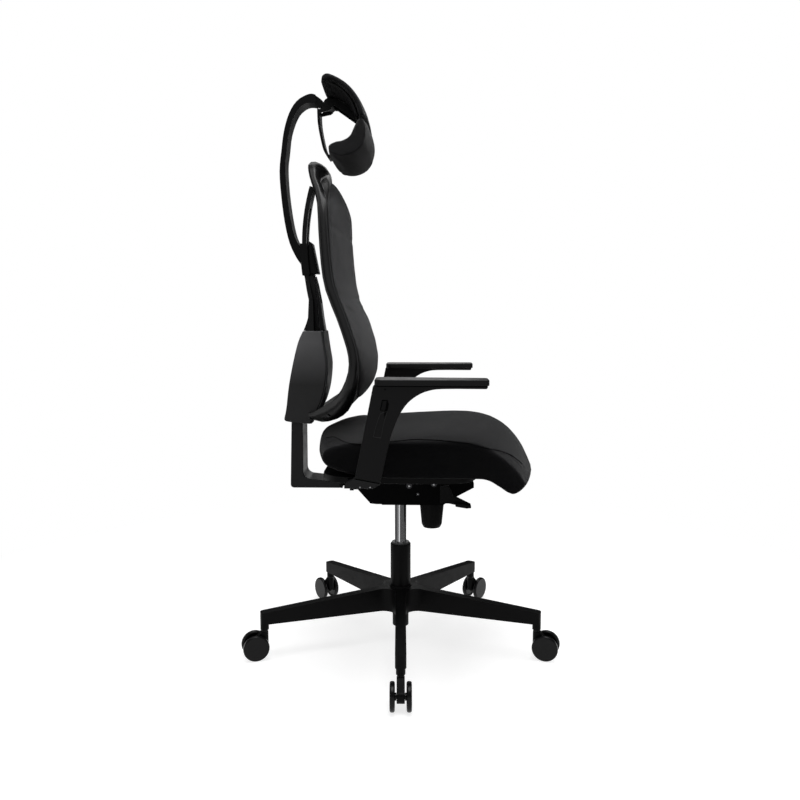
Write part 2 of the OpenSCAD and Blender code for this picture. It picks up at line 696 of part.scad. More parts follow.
module mech_housing() color("#26282b") {
    side = mech_w / 2;
    inner = side - mech_wall;
    ear_top = rocker_pin_h + ear_rise;
    floor_h = mech_low_h + mech_floor_t;
    difference() {
        union() {
            difference() {
                intersection() {
                    side_plate(mech_outer, -side, side);
                    union() {
                        cross_rod(tilt_axle_x, tilt_axle_h, tilt_joint_r, -side, side);
                        translate([tilt_axle_x, -side, mech_low_h]) cube([mech_len, mech_w, mech_h]);
                    }
                }
                side_plate(mech_inner, -inner, inner);
            }
            translate([0, 0, mech_low_h]) cylinder(h = boss_h - mech_floor_t, r = cylinder_r + boss_wall);
            translate([0, 0, mech_low_h - boss_cone_h])
                cylinder(h = boss_cone_h, r1 = cylinder_r + boss_wall,
                    r2 = cylinder_r + boss_wall + boss_cone_h);
            both_sides() translate([rocker_pivot_x - ear_half, rocker_w / 2 + face_gap, floor_h - over])
                cube([2 * ear_half, ear_t, ear_top - floor_h + over]);
            translate([lever_shaft_x - ear_half, -rocker_w / 2 - face_gap - ear_t, floor_h - over])
                cube([2 * ear_half, ear_t, lever_shaft_h + ear_rise - floor_h + over]);
            translate([tilt_lever_x - ear_half, tilt_lever_inner_y, floor_h - over])
                cube([2 * ear_half, ear_t, tilt_lever_h + ear_rise - floor_h + over]);
            translate([knob_x, 0, mech_low_h]) cylinder(h = 3 * mech_floor_t, r = 2 * spindle_r);
        }
        translate([0, 0, mech_low_h - boss_cone_h - over])
            cylinder(h = boss_h + boss_cone_h + 2 * over, r = cylinder_r);
        cross_rod(tilt_axle_x, tilt_axle_h, tilt_axle_r, -side - over, side + over);
        cross_rod(seat_axle_x, seat_axle_h, seat_axle_r, -side - over, side + over);
        cross_rod(rocker_pivot_x, rocker_pin_h, rocker_pin_r + run_gap, -side / 2, side / 2);
        cross_rod(lever_shaft_x, lever_shaft_h, lever_shaft_r + run_gap, -side - over, 0);
        cross_rod(tilt_lever_x, tilt_lever_h, lever_shaft_r + run_gap, 0, side + over);
        translate([knob_x, 0, mech_low_h - over]) cylinder(h = mech_h, r = spindle_r + run_gap);
    }
}

module tilt_axle() color("#8a8d91") cross_rod(tilt_axle_x, tilt_axle_h, tilt_axle_r, -mech_w / 2, mech_w / 2);

module seat_axle() color("#8a8d91") cross_rod(seat_axle_x, seat_axle_h, seat_axle_r, -mech_w / 2, mech_w / 2);

module tilt_springs() color("#5d6064") {
    both_sides() difference() {
        cross_rod(seat_axle_x, seat_axle_h, spring_r, spring_from_y, spring_to_y);
        cross_rod(seat_axle_x, seat_axle_h, seat_axle_r + face_gap, spring_from_y - over, spring_to_y + over);
    }
}

module mech_screws() color("#b9bcc0") {
    side = mech_w / 2;
    both_sides() {
        cross_rod(tilt_axle_x, tilt_axle_h, big_head_r, side, side + big_head_t);
        cross_rod(screw_x, mech_low_h + screw_up, small_head_r, side, side + small_head_t);
        cross_rod(seat_axle_x, seat_axle_h, washer_r, side, side + washer_t);
        translate([seat_axle_x, side + washer_t + hex_t, seat_axle_h]) rotate([90, 0, 0])
            cylinder(h = hex_t, r = hex_r, $fn = 6);
    }
}

// Paddle at the end of a lever's shaft, to the chair's right side
module lever_paddle(x, z, y1, rise) {
    reach = 5 * lever_hub_r;
    side_plate([[x - lever_hub_r, z - lever_shaft_r], [x - lever_hub_r, z + rise],
        [x + lever_hub_r, z + rise],
        [x + 2 * lever_hub_r, z + 1.35 * lever_hub_r], [x + reach + lever_hub_r, z - 0.65 * lever_hub_r],
        [x + reach + lever_hub_r, z - 1.15 * lever_hub_r], [x + reach, z - 1.25 * lever_hub_r],
        [x + lever_hub_r, z - 0.4 * lever_hub_r]], y1 - lever_plate_t, y1);
    side_plate([[x + reach / 2, z - 0.85 * lever_hub_r], [x + reach / 2, z - 0.05 * lever_hub_r],
        [x + reach + lever_hub_r, z - 0.65 * lever_hub_r], [x + reach + lever_hub_r, z - 1.15 * lever_hub_r],
        [x + reach, z - 1.25 * lever_hub_r]], y1 - lever_blade_w, y1);
}

module height_lever() color("#1a1b1d") {
    outer = -mech_w / 2 - lever_reach;
    cross_rod(lever_shaft_x, lever_shaft_h, lever_shaft_r, outer - over, rocker_w / 2);
    finger_top = rocker_low_h - face_gap;
    translate([lever_shaft_x, -rocker_w / 2, lever_shaft_h - lever_shaft_r / 2])
        cube([lever_finger, rocker_w, finger_top - lever_shaft_h + lever_shaft_r / 2]);
    lever_paddle(lever_shaft_x, lever_shaft_h, outer, lever_hub_r * 3.6);
}

module release_rocker() color("#5b5e62") {
    half = rocker_w / 2;
    translate([rocker_rear_x, -half, rocker_low_h])
        cube([rocker_front_x - rocker_rear_x, rocker_w, rocker_t]);
    cross_rod(rocker_pivot_x, rocker_pin_h, rocker_pin_r, -half - ear_t, half + ear_t);
}

module tilt_lever() color("#1a1b1d") {
    outer = -mech_w / 2 - lever_reach;
    mirror([0, 1, 0]) {
        cross_rod(tilt_lever_x, tilt_lever_h, lever_shaft_r, outer - over, -tilt_lever_inner_y);
        lever_paddle(tilt_lever_x, tilt_lever_h, outer, lever_hub_r);
    }
}

module tension_knob() color("#202225") {
    top = mech_low_h - knob_top_gap;
    foot_r_knob = knob_r * knob_foot_share;
    translate([knob_x, 0, 0]) {
        rotate_extrude($fn = 72) polygon([[0, top - knob_h], [foot_r_knob - knob_foot_h / 2, top - knob_h],
            [foot_r_knob, top - knob_h + knob_foot_h], [knob_r, top - over], [knob_r - over, top], [0, top]]);
        translate([0, 0, top]) cylinder(h = spindle_rise, r = spindle_r);
    }
}

// Back carrier
module tilt_arm() color("#2b2d30") {
    side = tilt_arm_w / 2;
    span = [-tilt_arm_rear_x - tilt_joint_r + tilt_axle_x + over, mech_h - over];
    outline = placed(tilt_arm_shares, [tilt_arm_rear_x, mech_low_h + over], span);
    cheek_rear_x = tilt_arm_rear_x + tilt_web_t;
    difference() {
        union() {
            difference() {
                side_plate(outline, -side, side);
                cross_rod(tilt_axle_x, tilt_axle_h, tilt_joint_r + face_gap, -side - over, side + over);
                translate([cheek_rear_x, -side + tilt_arm_wall, mech_low_h])
                    cube([mech_len, tilt_arm_w - 2 * tilt_arm_wall, mech_h - tilt_web_t]);
            }
            both_sides() cross_rod(tilt_axle_x, tilt_axle_h, cheek_r, cheek_in_y, cheek_in_y + cheek_t);
            both_sides() translate([cheek_rear_x, cheek_in_y, tilt_axle_h - cheek_r])
                cube([tilt_axle_x - cheek_rear_x, cheek_t, cheek_h]);
            both_sides() translate([cheek_rear_x, cheek_in_y, tilt_axle_h - cheek_r])
                cube([tilt_web_t, side - cheek_in_y, mech_low_h + mech_h - over - tilt_axle_h + cheek_r]);
            translate([tilt_arm_rear_x - tongue_len + tilt_web_t, -tongue_w / 2, mech_low_h + tongue_up])
                cube([tongue_len, tongue_w, tongue_t]);
            translate([tilt_arm_rear_x, -tongue_w / 2, mech_low_h + tongue_up])
                cube([tilt_web_t, tongue_w, mech_h - over - tongue_up]);
        }
        cross_rod(tilt_axle_x, tilt_axle_h, tilt_axle_r + run_gap, -side, side);
        both_sides() for (dx = [-link_slot, 0, link_slot])
            cross_rod(link_x + dx, mech_low_h + link_up, link_r + link_play, cheek_in_y - over,
                cheek_in_y + cheek_t + over);
        both_sides()
            translate([link_x - link_slot, cheek_in_y - over, mech_low_h + link_up - link_r - link_play])
            cube([2 * link_slot, cheek_t + 2 * over, 2 * (link_r + link_play)]);
    }
}

module back_bar() color("#2a2b2e") {
    low = bar_low_h;
    front_x = -bar_rear + bar_t;
    full_h = low + bar_h * bar_full_share;
    foot_h = low + bar_foot_t;
    outline = concat(
        arc([-bar_rear + bar_corner_r, low + bar_corner_r], bar_corner_r, 270, 180, 4),
        [[-bar_rear + bar_lean, full_h], [front_x - rail_t, full_h], [front_x - rail_t, low + bar_h],
         [front_x, low + bar_h]],
        arc([front_x + bar_bend_r, foot_h + bar_bend_r], bar_bend_r, 180, 270, 6),
        [[bar_end_x, low + bar_end_t], [bar_end_x, low]]);
    difference() {
        side_plate(outline, -bar_w / 2, bar_w / 2);
        both_sides() translate([-bar_rear - over, rail_w / 2, full_h])
            cube([bar_t + 2 * over, bar_w, bar_h]);
        translate([tilt_arm_rear_x - tongue_len + tilt_web_t, -tongue_w / 2, mech_low_h + tongue_up])
            cube([tongue_len, tongue_w, tongue_t]);
    }
}

module back_bar_cap() color("#0e0f10") {
    front = bar_end_x + cap_t;
    difference() {
        side_plate([[bar_end_x, bar_low_h], [bar_end_x, bar_low_h + bar_end_t],
            [front, bar_low_h + bar_end_t - cap_bevel], [front, bar_low_h]], -bar_w / 2, bar_w / 2);
        translate([bar_end_x - over, -tongue_w / 2, mech_low_h + tongue_up])
            cube([cap_t + 2 * over, tongue_w, tongue_t]);
    }
}

// Back
function housing_line(shares, dx = 0) =
    curve(placed(shares, [housing_rear_x + dx, housing_low_h], [housing_depth, housing_h]), 3);

module back_housing_rear() color("#121315") {
    side = housing_w / 2;
    rear = housing_line(housing_rear_shares);
    front = housing_line(housing_front_shares);
    inside = concat([[housing_rear_x + 2 * housing_wall, housing_low_h - over]],
        [for (p = housing_line(housing_rear_shares, housing_wall))
            if (p[0] < housing_rear_x + housing_depth / 2 && p[1] > housing_low_h + housing_h / 20) p],
        [[housing_rear_x + housing_depth / 2, housing_low_h + housing_h + over],
         [housing_rear_x + 2 * housing_depth, housing_low_h + housing_h + over],
         [housing_rear_x + 2 * housing_depth, housing_low_h - over]]);
    difference() {
        side_plate(concat(rear, front), -side, side);
        side_plate(inside, -side + housing_wall, side - housing_wall);
    }
}

module back_housing_front() color("#3a3c40") {
    side = housing_w / 2 - housing_wall - face_gap;
    front = housing_line(housing_front_shares, cover_proud);
    rear = reversed(housing_line(housing_front_shares, cover_proud - cover_t));
    guide_rear = -bar_rear + bar_t + face_gap;
    guide_front = [for (p = housing_line(housing_front_shares, -over))
        if (p[1] > housing_low_h + guide_low_up && p[1] < housing_low_h + guide_top_up) p];
    top = guide_front[0];
    foot = guide_front[len(guide_front) - 1];
    difference() {
        union() {
            side_plate(concat(front, rear), -side, side);
            side_plate(concat([[guide_rear, foot[1]], [guide_rear, top[1]]], guide_front),
                -guide_w / 2, guide_w / 2);
        }
        translate([guide_rear - over, -guide_slot_w / 2, housing_low_h])
            cube([-cover_inset - guide_rear + housing_rear_x + housing_depth, guide_slot_w, housing_h]);
    }
}

module spine() color("#1f2023") {
    foot_x = spine_mid_x - spine_r * cos(spine_foot_a);
    join_h = spine_mid_h + spine_r * sin(spine_foot_a);
    foot_low = join_h - spine_foot_h;
    foot = placed(spine_foot_shares, [foot_x, foot_low], [spine_t / cos(spine_foot_a), spine_foot_h + over]);
    taper = placed(spine_taper_shares, [0, foot_low], [spine_w / 2, back_h / 1.55]);
    blade_low = housing_low_h + housing_h + face_gap;
    blade_h = spine_mid_h + (spine_r + clamp_wall) * sin(clamp_from_a) - 3 * face_gap - blade_low;
    blade = placed(blade_shares, [foot_x, blade_low], [spine_t, blade_h]);
    rail = placed(rail_shares, [foot_x, blade_low], [spine_t, blade_h]);
    blade_half = blade_half_share * spine_w;
    rail_half = rail_half_share * spine_w;
    difference() {
        intersection() {
            union() {
                spine_sector(spine_r - spine_t, spine_r, spine_foot_a, spine_top_a, 3 * spine_w);
                side_plate(foot, -1.5 * spine_w, 1.5 * spine_w);
                side_plate(blade, -blade_half, blade_half);
                side_plate(rail, -rail_half, rail_half);
            }
            translate([-spine_r, 0, 0]) rotate([90, 0, 90]) linear_extrude(spine_r)
                polygon(concat(taper, [for (p = reversed(taper)) [-p[0], p[1]]]));
        }
        translate([-spine_r, -spine_slot_w / 2, housing_low_h + spine_slot_from_up])
            cube([spine_r, spine_slot_w, spine_slot_to_up - spine_slot_from_up]);
    }
}

// Depth of the back at a height, read from a line of shares
function back_line(shares) = [for (s = curve(shares, 3)) [s[0], s[1]]];
front_line = back_line(cushion_front_shares);
rear_line = back_line(cushion_rear_shares);
back_rear_x = -200;

// Stations of the whole tube, from the right arm's end over the top to the left arm's end
frame_half_shares = concat(frame_low_shares, frame_side_shares, frame_top_shares);
frame_whole_shares = concat([for (s = frame_half_shares) [s[0], -s[1], s[2], s[3], s[4]]],
    [for (i = [len(frame_half_shares) - 2:-1:0]) frame_half_shares[i]]);
frame_stations = curve(placed(frame_whole_shares, [back_rear_x, 0, housing_low_h, 0, 0],
    [back_depth, frame_half_w, back_h, frame_tube_r, frame_tube_r]), 2);
facing = [cos(frame_facing), 0, sin(frame_facing)];
// Direction of the tube at a station, and the two directions of its section
function frame_along(i) = unit([for (k = [0:2]) at(frame_stations, i + 1)[k] - at(frame_stations, i - 1)[k]]);
function frame_wide(t) = unit(facing - (facing * t) * t);

module back_frame() color("#1c1d1f") {
    loft([for (i = [0:len(frame_stations) - 1])
        let (s = frame_stations[i], p = [s[0], s[1], s[2]], t = frame_along(i), a = frame_wide(t),
            b = cross(t, a))
        [for (k = [0:frame_sides - 1])
            p + a * s[3] * cos(360 * k / frame_sides) + b * s[4] * sin(360 * k / frame_sides)]]);
    line = curve(placed(panel_shares, [back_rear_x, housing_low_h, 0],
        [back_depth, back_h, frame_half_w]), 2);
    last = len(line) - 1;
    loft([for (i = [0:panel_stations])
        let (t = 2 * i / panel_stations - 1)
        concat(
            [for (k = [last:-1:0]) [line[k][0], t * line[k][2], line[k][1] + panel_bow * t * t]],
            [for (k = [0:last]) [line[k][0], t * line[k][2], line[k][1] + panel_bow * t * t]
                + panel_t * [k / last - 1, 0, 1] / norm([k / last - 1, 1])])]);
}

// Depth by which a seam draws the cushion in at a height share
function seam(z) = seam_depth * max([for (h = seam_heights_share) max(0, 1 - abs(z - h) / seam_share)]);

// Half width of the cushion at a height share, inside the tube
side_line = [for (i = [3:len(frame_half_shares) - 3]) [frame_half_shares[i][2], frame_half_shares[i][1]]];
function cushion_w(z) = lookup(z, side_line) * frame_half_w - frame_tube_r - cushion_edge_gap;

module back_cushion() color("#232427") {
    loft([for (i = [0:cushion_stations])
        let (t = -cos(180 * i / cushion_stations), near = pow(abs(t), 6),
            mid = (cushion_low_share + cushion_top_share) / 2,
            reach = (cushion_top_share - cushion_low_share) / 2 * lerp(1, cushion_corner_share, near),
            close = sqrt(max(0.04, 1 - pow(abs(t), 8))),
            levels = [for (k = [0:cushion_levels - 1]) -cos(180 * k / (cushion_levels - 1))],
            rows = [for (u = levels)
                let (z = mid + u * reach, rear = lookup(z, rear_line), middle = lookup(z, front_line),
                    front = lerp(middle, rear + 0.075, pow(abs(t), 2.4)), half = (front - rear) / 2,
                    puff = close * sqrt(max(0.04, 1 - pow(abs(u), 8))))
                [(front + rear) / 2, half * puff, z]])
        concat(
            [for (r = rows)
                [back_rear_x + (r[0] - r[1]) * back_depth, t * cushion_w(r[2]),
                    housing_low_h + r[2] * back_h]],
            [for (r = reversed(rows))
                [back_rear_x + (r[0] + r[1]) * back_depth - seam(r[2]), t * cushion_w(r[2]),
                    housing_low_h + r[2] * back_h]])]);
}

module back_screws() color("#55585c") {
    both_sides() for (i = [0, 4])
        let (k = len(frame_stations) - 1 - i, s = frame_stations[k], t = frame_along(k),
            n = -cross(t, frame_wide(t)),
            out = n[1] < 0 ? -n : n)
        translate([s[0], s[1], s[2]] + out * (s[4] + small_head_t / 4))
            rotate([0, acos(out[2]), atan2(out[1], out[0])]) cylinder(h = small_head_t, r = small_head_r);
}

// Headrest
module headrest_clamp() color("#2e3033") {
    inner = spine_r - spine_t;
    w = spine_w + 2 * face_gap;
    outer_w = w + 2 * clamp_side;
    wedge_low = spine_mid_h + spine_r * sin(clamp_from_a);
    wedge_x = spine_mid_x - (inner - clamp_wall) * cos(clamp_from_a);
    difference() {
        union() {
            spine_sector(inner - clamp_wall, spine_r + clamp_wall, clamp_from_a, clamp_to_a, outer_w);
            side_plate([[wedge_x - clamp_wall, wedge_low], [wedge_x + wedge_t, wedge_low],
                [wedge_x - clamp_wall / 2, wedge_low + 6 * wedge_t],
                [wedge_x - clamp_wall, wedge_low + 6 * wedge_t]],
                -spine_w / 3, spine_w / 3);
        }
        spine_sector(inner - face_gap, spine_r + face_gap, clamp_from_a - over, clamp_to_a + over, w);
    }
}

module headrest_stem() color("#1e1f22") {
    origin = [stem_foot[0], spine_mid_h + stem_foot[1]];
    outer = curve(placed(stem_outer_shares, origin, stem_box), 3);
    inner = curve(placed(stem_inner_shares, origin, stem_box), 3);
    side = head_tongue_w / 2;
    difference() {
        union() {
            intersection() {
                side_plate(concat(outer, inner), -stem_w / 2, stem_w / 2);
                union() {
                    translate([-spine_r, -stem_w, 0])
                        cube([spine_r + stem_tongue_x, 2 * stem_w, 2 * head_pivot_h]);
                    translate([-spine_r, -side, 0]) cube([spine_r, 2 * side, 2 * head_pivot_h]);
                }
            }
            cross_rod(head_pivot_x, head_pivot_h, head_barrel_r, -side, side);
        }
        cross_rod(head_pivot_x, head_pivot_h, head_pin_r + run_gap, -stem_w, stem_w);
        translate([spine_mid_x, stem_w, spine_mid_h]) rotate([90, 0, 0])
            cylinder(h = 2 * stem_w, r = spine_r + clamp_wall, $fn = 180);
    }
}

// Lines of the headrest in side view
shell_first = 6;
pad_line = curve(placed(pad_outer_shares, [head_rear_x, head_low_h], [head_depth, head_h]), 2);
function inset_line(line, d) = [for (i = [0:len(line) - 1])
    let (t = unit(at(line, i + 1) - at(line, i - 1))) line[i] + d * [t[1], -t[0]]];

module headrest_mount() color("#17181a") {
    lug_y = head_tongue_w / 2 + face_gap;
    edge = inset_line(pad_line, head_pad_t + head_shell_t + 8 * face_gap);
    brace = [for (i = [brace_first:len(edge) - 1])
        if (edge[i][0] > head_pivot_x + head_barrel_r && edge[i][1] > head_low_h + brace_low_share * head_h)
            edge[i]];
    both_sides() {
        side_plate(concat([[head_pivot_x, head_pivot_h],
            [head_pivot_x, head_pivot_h + head_barrel_r / 2]], brace,
            [[head_pivot_x + head_barrel_r, head_pivot_h - head_pin_r]]),
            lug_y, lug_y + head_lug_t);
        cross_rod(head_pivot_x, head_pivot_h, head_barrel_r, lug_y, lug_y + head_lug_t);
        side_plate([[head_pivot_x, head_pivot_h - 0.6 * head_barrel_r],
            [head_pivot_x + head_barrel_r / 2, head_pivot_h - head_barrel_r],
            [head_pivot_x, head_pivot_h - 1.35 * head_barrel_r],
            [head_pivot_x - 1.75 * head_barrel_r, head_pivot_h - 1.7 * head_barrel_r],
            [head_pivot_x - 1.75 * head_barrel_r, head_pivot_h - 1.1 * head_barrel_r],
            [head_pivot_x - head_barrel_r, head_pivot_h - 0.6 * head_barrel_r]],
            lug_y, lug_y + head_lug_t);
    }
    cross_rod(head_pivot_x, head_pivot_h, head_pin_r, -lug_y - head_pin_r / 2, lug_y + head_pin_r / 2);
}

// Band across the headrest: a rear line read upwards and a front line read downwards, drawn in at the ends
module head_band(rear, front, w, end_share, power) {
    ring = concat(rear, front);
    half = len(rear);
    loft([for (i = [0:head_stations])
        let (t = -cos(180 * i / head_stations), k = lerp(1, end_share, pow(abs(t), power)))
        [for (j = [0:len(ring) - 1])
            let (mate = ring[len(ring) - 1 - j], mid = (ring[j] + mate) / 2, p = mid + (ring[j] - mid) * k)
            [p[0], t * w / 2, p[1]]]]);
}

module headrest_shell() color("#141517") {
    line = [for (i = [shell_first:len(pad_line) - 3]) pad_line[i]];
    front = inset_line(line, head_pad_t + face_gap);
    rear = inset_line(line, head_pad_t + head_shell_t + face_gap);
    head_band(reversed(rear), front, head_w * 0.94, 0.9, head_end_power);
}

module headrest_pad() color("#1b1c1e") {
    head_band(reversed(inset_line(pad_line, head_pad_t)), pad_line, head_w, head_end_share, head_end_power);
}

module neck_roll() color("#222326") {
    rear = curve(placed(roll_rear_shares, [head_rear_x, head_low_h], [head_depth, head_h]), 2);
    front = curve(placed(roll_front_shares, [head_rear_x, head_low_h], [head_depth, head_h]), 2);
    head_band(rear, front, head_w, roll_end_share, roll_end_power);
}

module headrest_strap() color("#18191b") {
    line = curve(placed(strap_shares, [head_rear_x, head_low_h], [head_depth, head_h]), 4);
    front = inset_line(line, -strap_t);
    difference() {
        side_plate(concat(line, reversed(front)), -strap_w / 2, strap_w / 2);
        for (i = [1:tooth_count]) translate([front[i][0], 0, front[i][1]])
            rotate([0, 45, 0]) cube([tooth_h, strap_w / 2, tooth_h], center = true);
    }
}

// Seat
module seat_carrier() color("#3b3d41") {
    top = carrier_low_h + carrier_t;
    difference() {
        union() {
            translate([carrier_rear_x, -carrier_half_w, carrier_low_h])
                cube([carrier_front_x - carrier_rear_x, 2 * carrier_half_w, carrier_t]);
            both_sides() {
                cross_rod(seat_axle_x, seat_axle_h, carrier_ear_r, carrier_ear_y,
                    carrier_ear_y + carrier_ear_t);
                translate([seat_axle_x - carrier_ear_r, carrier_ear_y, seat_axle_h])
                    cube([2 * carrier_ear_r, carrier_ear_t, top - seat_axle_h - over]);
                cross_rod(link_x, mech_low_h + link_up, carrier_rear_ear_r, carrier_rear_ear_y,
                    carrier_rear_ear_y + carrier_ear_t);
                translate([link_x - carrier_rear_ear_r, carrier_rear_ear_y, mech_low_h + link_up])
                    cube([2 * carrier_rear_ear_r, carrier_ear_t, top - mech_low_h - link_up - over]);
            }
        }
        cross_rod(seat_axle_x, seat_axle_h, seat_axle_r + run_gap, -mech_w, mech_w);
        cross_rod(link_x, mech_low_h + link_up, link_r, -mech_w, mech_w);
    }
}

module link_pin() color("#8a8d91") {
    reach = cheek_in_y + cheek_t + 2 * over;
    cross_rod(link_x, mech_low_h + link_up, link_r, -reach, reach);
}

module pan_plan() {
    half = pan_half_w - pan_corner_r;
    rear = pan_rear_x + pan_corner_r;
    front = pan_front_x - pan_corner_r;
    polygon(concat(arc([rear, -half], pan_corner_r, 180, 270), arc([front, -half], pan_corner_r, 270, 360),
        arc([front, half], pan_corner_r, 0, 90), arc([rear, half], pan_corner_r, 90, 180)));
}

module seat_pan() color("#151618") {
    rail_y = carrier_half_w + face_gap;
    lip_low = carrier_low_h - face_gap - carrier_t;
    translate([0, 0, pan_low_h]) linear_extrude(pan_t) pan_plan();
    both_sides() {
        translate([rail_rear_x, rail_y, lip_low])
            cube([rail_front_x - rail_rear_x, rail_wall, pan_low_h - lip_low + over]);
        translate([rail_rear_x, rail_y - rail_lip, lip_low])
            cube([rail_front_x - rail_rear_x, rail_lip + over, carrier_t]);
    }
}

module seat_cushion() color("#2a2b2e") {
    mid = concat(curve(seat_mid_top_shares, 2), curve(seat_mid_low_shares, 2));
    edge = concat(curve(seat_edge_top_shares, 2), curve(seat_edge_low_shares, 2));
    loft([for (i = [0:seat_stations])
        let (t = sin(90 * (2 * i / seat_stations - 1)), w = pow(abs(t), seat_side_power))
        [for (j = [0:len(mid) - 1])
            let (s = lerp(mid[j], edge[j], w), draw = 1 - seat_draw_share * max(0, 1 - 2 * max(0, s[1])))
            [-seat_rear + s[0] * seat_len, t * draw * seat_w / 2, seat_base_h + s[1] * seat_crown]]]);
}

// Armrests
lean = tan(arm_lean);
sleeve_low_h = pan_low_h + sleeve_low_up;
arm_ref_h = pan_low_h;
// Middle of the leaning column at a height
function column_x(z) = arm_ref_x + (z - arm_ref_h) * lean;

module arm_brackets() color("#26282b") {
    half = arm_column_w / 2;
    low = pan_low_h - bracket_t;
    wing = low + pan_t;
    wing_y = pan_half_w + bracket_out;
    rear = bracket_x - bracket_half_w;
    front = bracket_x + bracket_half_w;
    shoulder_top = sleeve_low_h - shoulder_gap;
    shoulder_half = sleeve_w / 2 + over;
    both_sides() {
        translate([rear, bracket_in_y, low])
            cube([front - rear, wing_y + bracket_t - bracket_in_y, bracket_t]);
        translate([rear, wing_y, low]) cube([front - rear, bracket_t, pan_t + bracket_t]);
        translate([rear, wing_y, wing]) cube([front - rear, arm_y - wing_y + arm_column_t / 2, bracket_t]);
        side_plate([[column_x(wing) - half, wing], [column_x(column_top_h) - half, column_top_h],
            [column_x(column_top_h) + half, column_top_h], [column_x(wing) + half, wing]],
            arm_y - arm_column_t / 2, arm_y + arm_column_t / 2);
        side_plate([[rear, wing], [rear, wing + bracket_t],
            [column_x(shoulder_top) - shoulder_half, shoulder_top + sleeve_slant],
            [column_x(shoulder_top) + shoulder_half, shoulder_top - sleeve_slant], [front, wing]],
            arm_y - sleeve_t / 2 + over, arm_y + sleeve_t / 2 - over);
    }
}

module arm_screws() color("#b9bcc0") {
    face = arm_y + sleeve_t / 2 - over;
    both_sides() for (dx = [-1, 1])
        cross_rod(column_x(pan_low_h) + dx * sleeve_w / 5, pan_low_h + 2 * bracket_t, arm_screw_r, face,
            face + arm_screw_t);
}

// Outline of a sleeve in side view
function sleeve_outline() =
    let (low = sleeve_low_h, top = arm_top_h - arm_pad_t, half = sleeve_w / 2,
        arch = placed(sleeve_arch_shares, [arm_pad_rear_x, low], [arch_run, arch_rise]))
    concat([[column_x(low) - half, low + sleeve_slant], [column_x(top) - half, top],
        [arm_pad_rear_x + arm_pad_len - 2 * over, top]], reversed(curve(arch, 3)),
        [[column_x(low) + half, low - sleeve_slant]]);

module button_pocket(grow, y1, y2) {
    mid_h = lerp(sleeve_low_h, arm_top_h, button_up);
    half = button_w / 2 + grow;
    side_plate([for (s = [[-1, -1], [-1, 1], [1, 1], [1, -1]])
        let (z = mid_h + s[1] * (button_l / 2 + grow))
            [column_x(z) + button_forward + s[0] * half, z]], y1, y2);
}

module arm_sleeve(side) color("#1f2124") mirror([0, side > 0 ? 0 : 1, 0]) {
    half = arm_column_w / 2 + face_gap;
    cavity_top = column_top_h + 2 * bracket_t;
    outer = arm_y + sleeve_t / 2;
    low = sleeve_low_h - sleeve_slant - over;
    difference() {
        side_plate(sleeve_outline(), arm_y - sleeve_t / 2, outer);
        side_plate([[column_x(low) - half, low], [column_x(cavity_top) - half, cavity_top],
            [column_x(cavity_top) + half, cavity_top], [column_x(low) + half, low]],
            arm_y - arm_column_t / 2 - face_gap, arm_y + arm_column_t / 2 + face_gap);
        button_pocket(face_gap, outer - button_t - button_travel + button_proud - face_gap, outer + over);
    }
}

module arm_pad_plan() {
    front_x = arm_pad_rear_x + arm_pad_len;
    rear = arm_pad_rear_x + arm_pad_corner_r;
    front = front_x - arm_pad_front_corner_r;
    outer = arm_y + arm_pad_over;
    rear_in = outer - arm_pad_w;
    front_out = outer;
    front_in = front_out - arm_pad_front_w;
    polygon(concat(arc([rear, rear_in + arm_pad_corner_r], arm_pad_corner_r, 180, 270, 5),
        arc([front, front_in + arm_pad_front_corner_r], arm_pad_front_corner_r, 360 - arm_pad_nose_a, 360, 5),
        arc([front, front_out - arm_pad_front_corner_r], arm_pad_front_corner_r, 0, arm_pad_nose_a, 5),
        arc([rear, outer - arm_pad_corner_r], arm_pad_corner_r, 90, 180, 5)));
}

module arm_pad(side) color("#191a1c") mirror([0, side > 0 ? 0 : 1, 0])
    translate([0, 0, arm_top_h - arm_pad_t]) linear_extrude(arm_pad_t) arm_pad_plan();

module arm_button(side) color("#0f1011") mirror([0, side > 0 ? 0 : 1, 0]) {
    outer = arm_y + sleeve_t / 2 + button_proud;
    button_pocket(0, outer - button_t, outer);
}

base_star();
caster_stems();
caster_body(1);  // caster_body_1
caster_body(2);  // caster_body_2
caster_body(3);  // caster_body_3
caster_body(4);  // caster_body_4
caster_body(5);  // caster_body_5
caster_wheel(1, 1);  // caster_wheel_1a
caster_wheel(1, -1);  // caster_wheel_1b
caster_wheel(2, 1);  // caster_wheel_2a
caster_wheel(2, -1);  // caster_wheel_2b
caster_wheel(3, 1);  // caster_wheel_3a
caster_wheel(3, -1);  // caster_wheel_3b
caster_wheel(4, 1);  // caster_wheel_4a
caster_wheel(4, -1);  // caster_wheel_4b
caster_wheel(5, 1);  // caster_wheel_5a
caster_wheel(5, -1);  // caster_wheel_5b
column_tube();
column_bush();
thrust_bearing();
piston_rod();
gas_cylinder();
release_pin();
mech_housing();
tilt_axle();
seat_axle();
tilt_springs();
mech_screws();
height_lever();
release_rocker();
tilt_lever();
tension_knob();
tilt_arm();
back_bar();
back_bar_cap();
back_housing_rear();
back_housing_front();
spine();
back_frame();
back_cushion();
back_screws();
headrest_clamp();
headrest_stem();
headrest_mount();
headrest_shell();
headrest_strap();
headrest_pad();
neck_roll();
seat_carrier();
link_pin();
seat_pan();
seat_cushion();
arm_brackets();
arm_screws();
arm_sleeve(1);  // arm_sleeve_left
arm_sleeve(-1);  // arm_sleeve_right
arm_pad(1);  // arm_pad_left
arm_pad(-1);  // arm_pad_right
arm_button(1);  // arm_button_left
arm_button(-1);  // arm_button_right
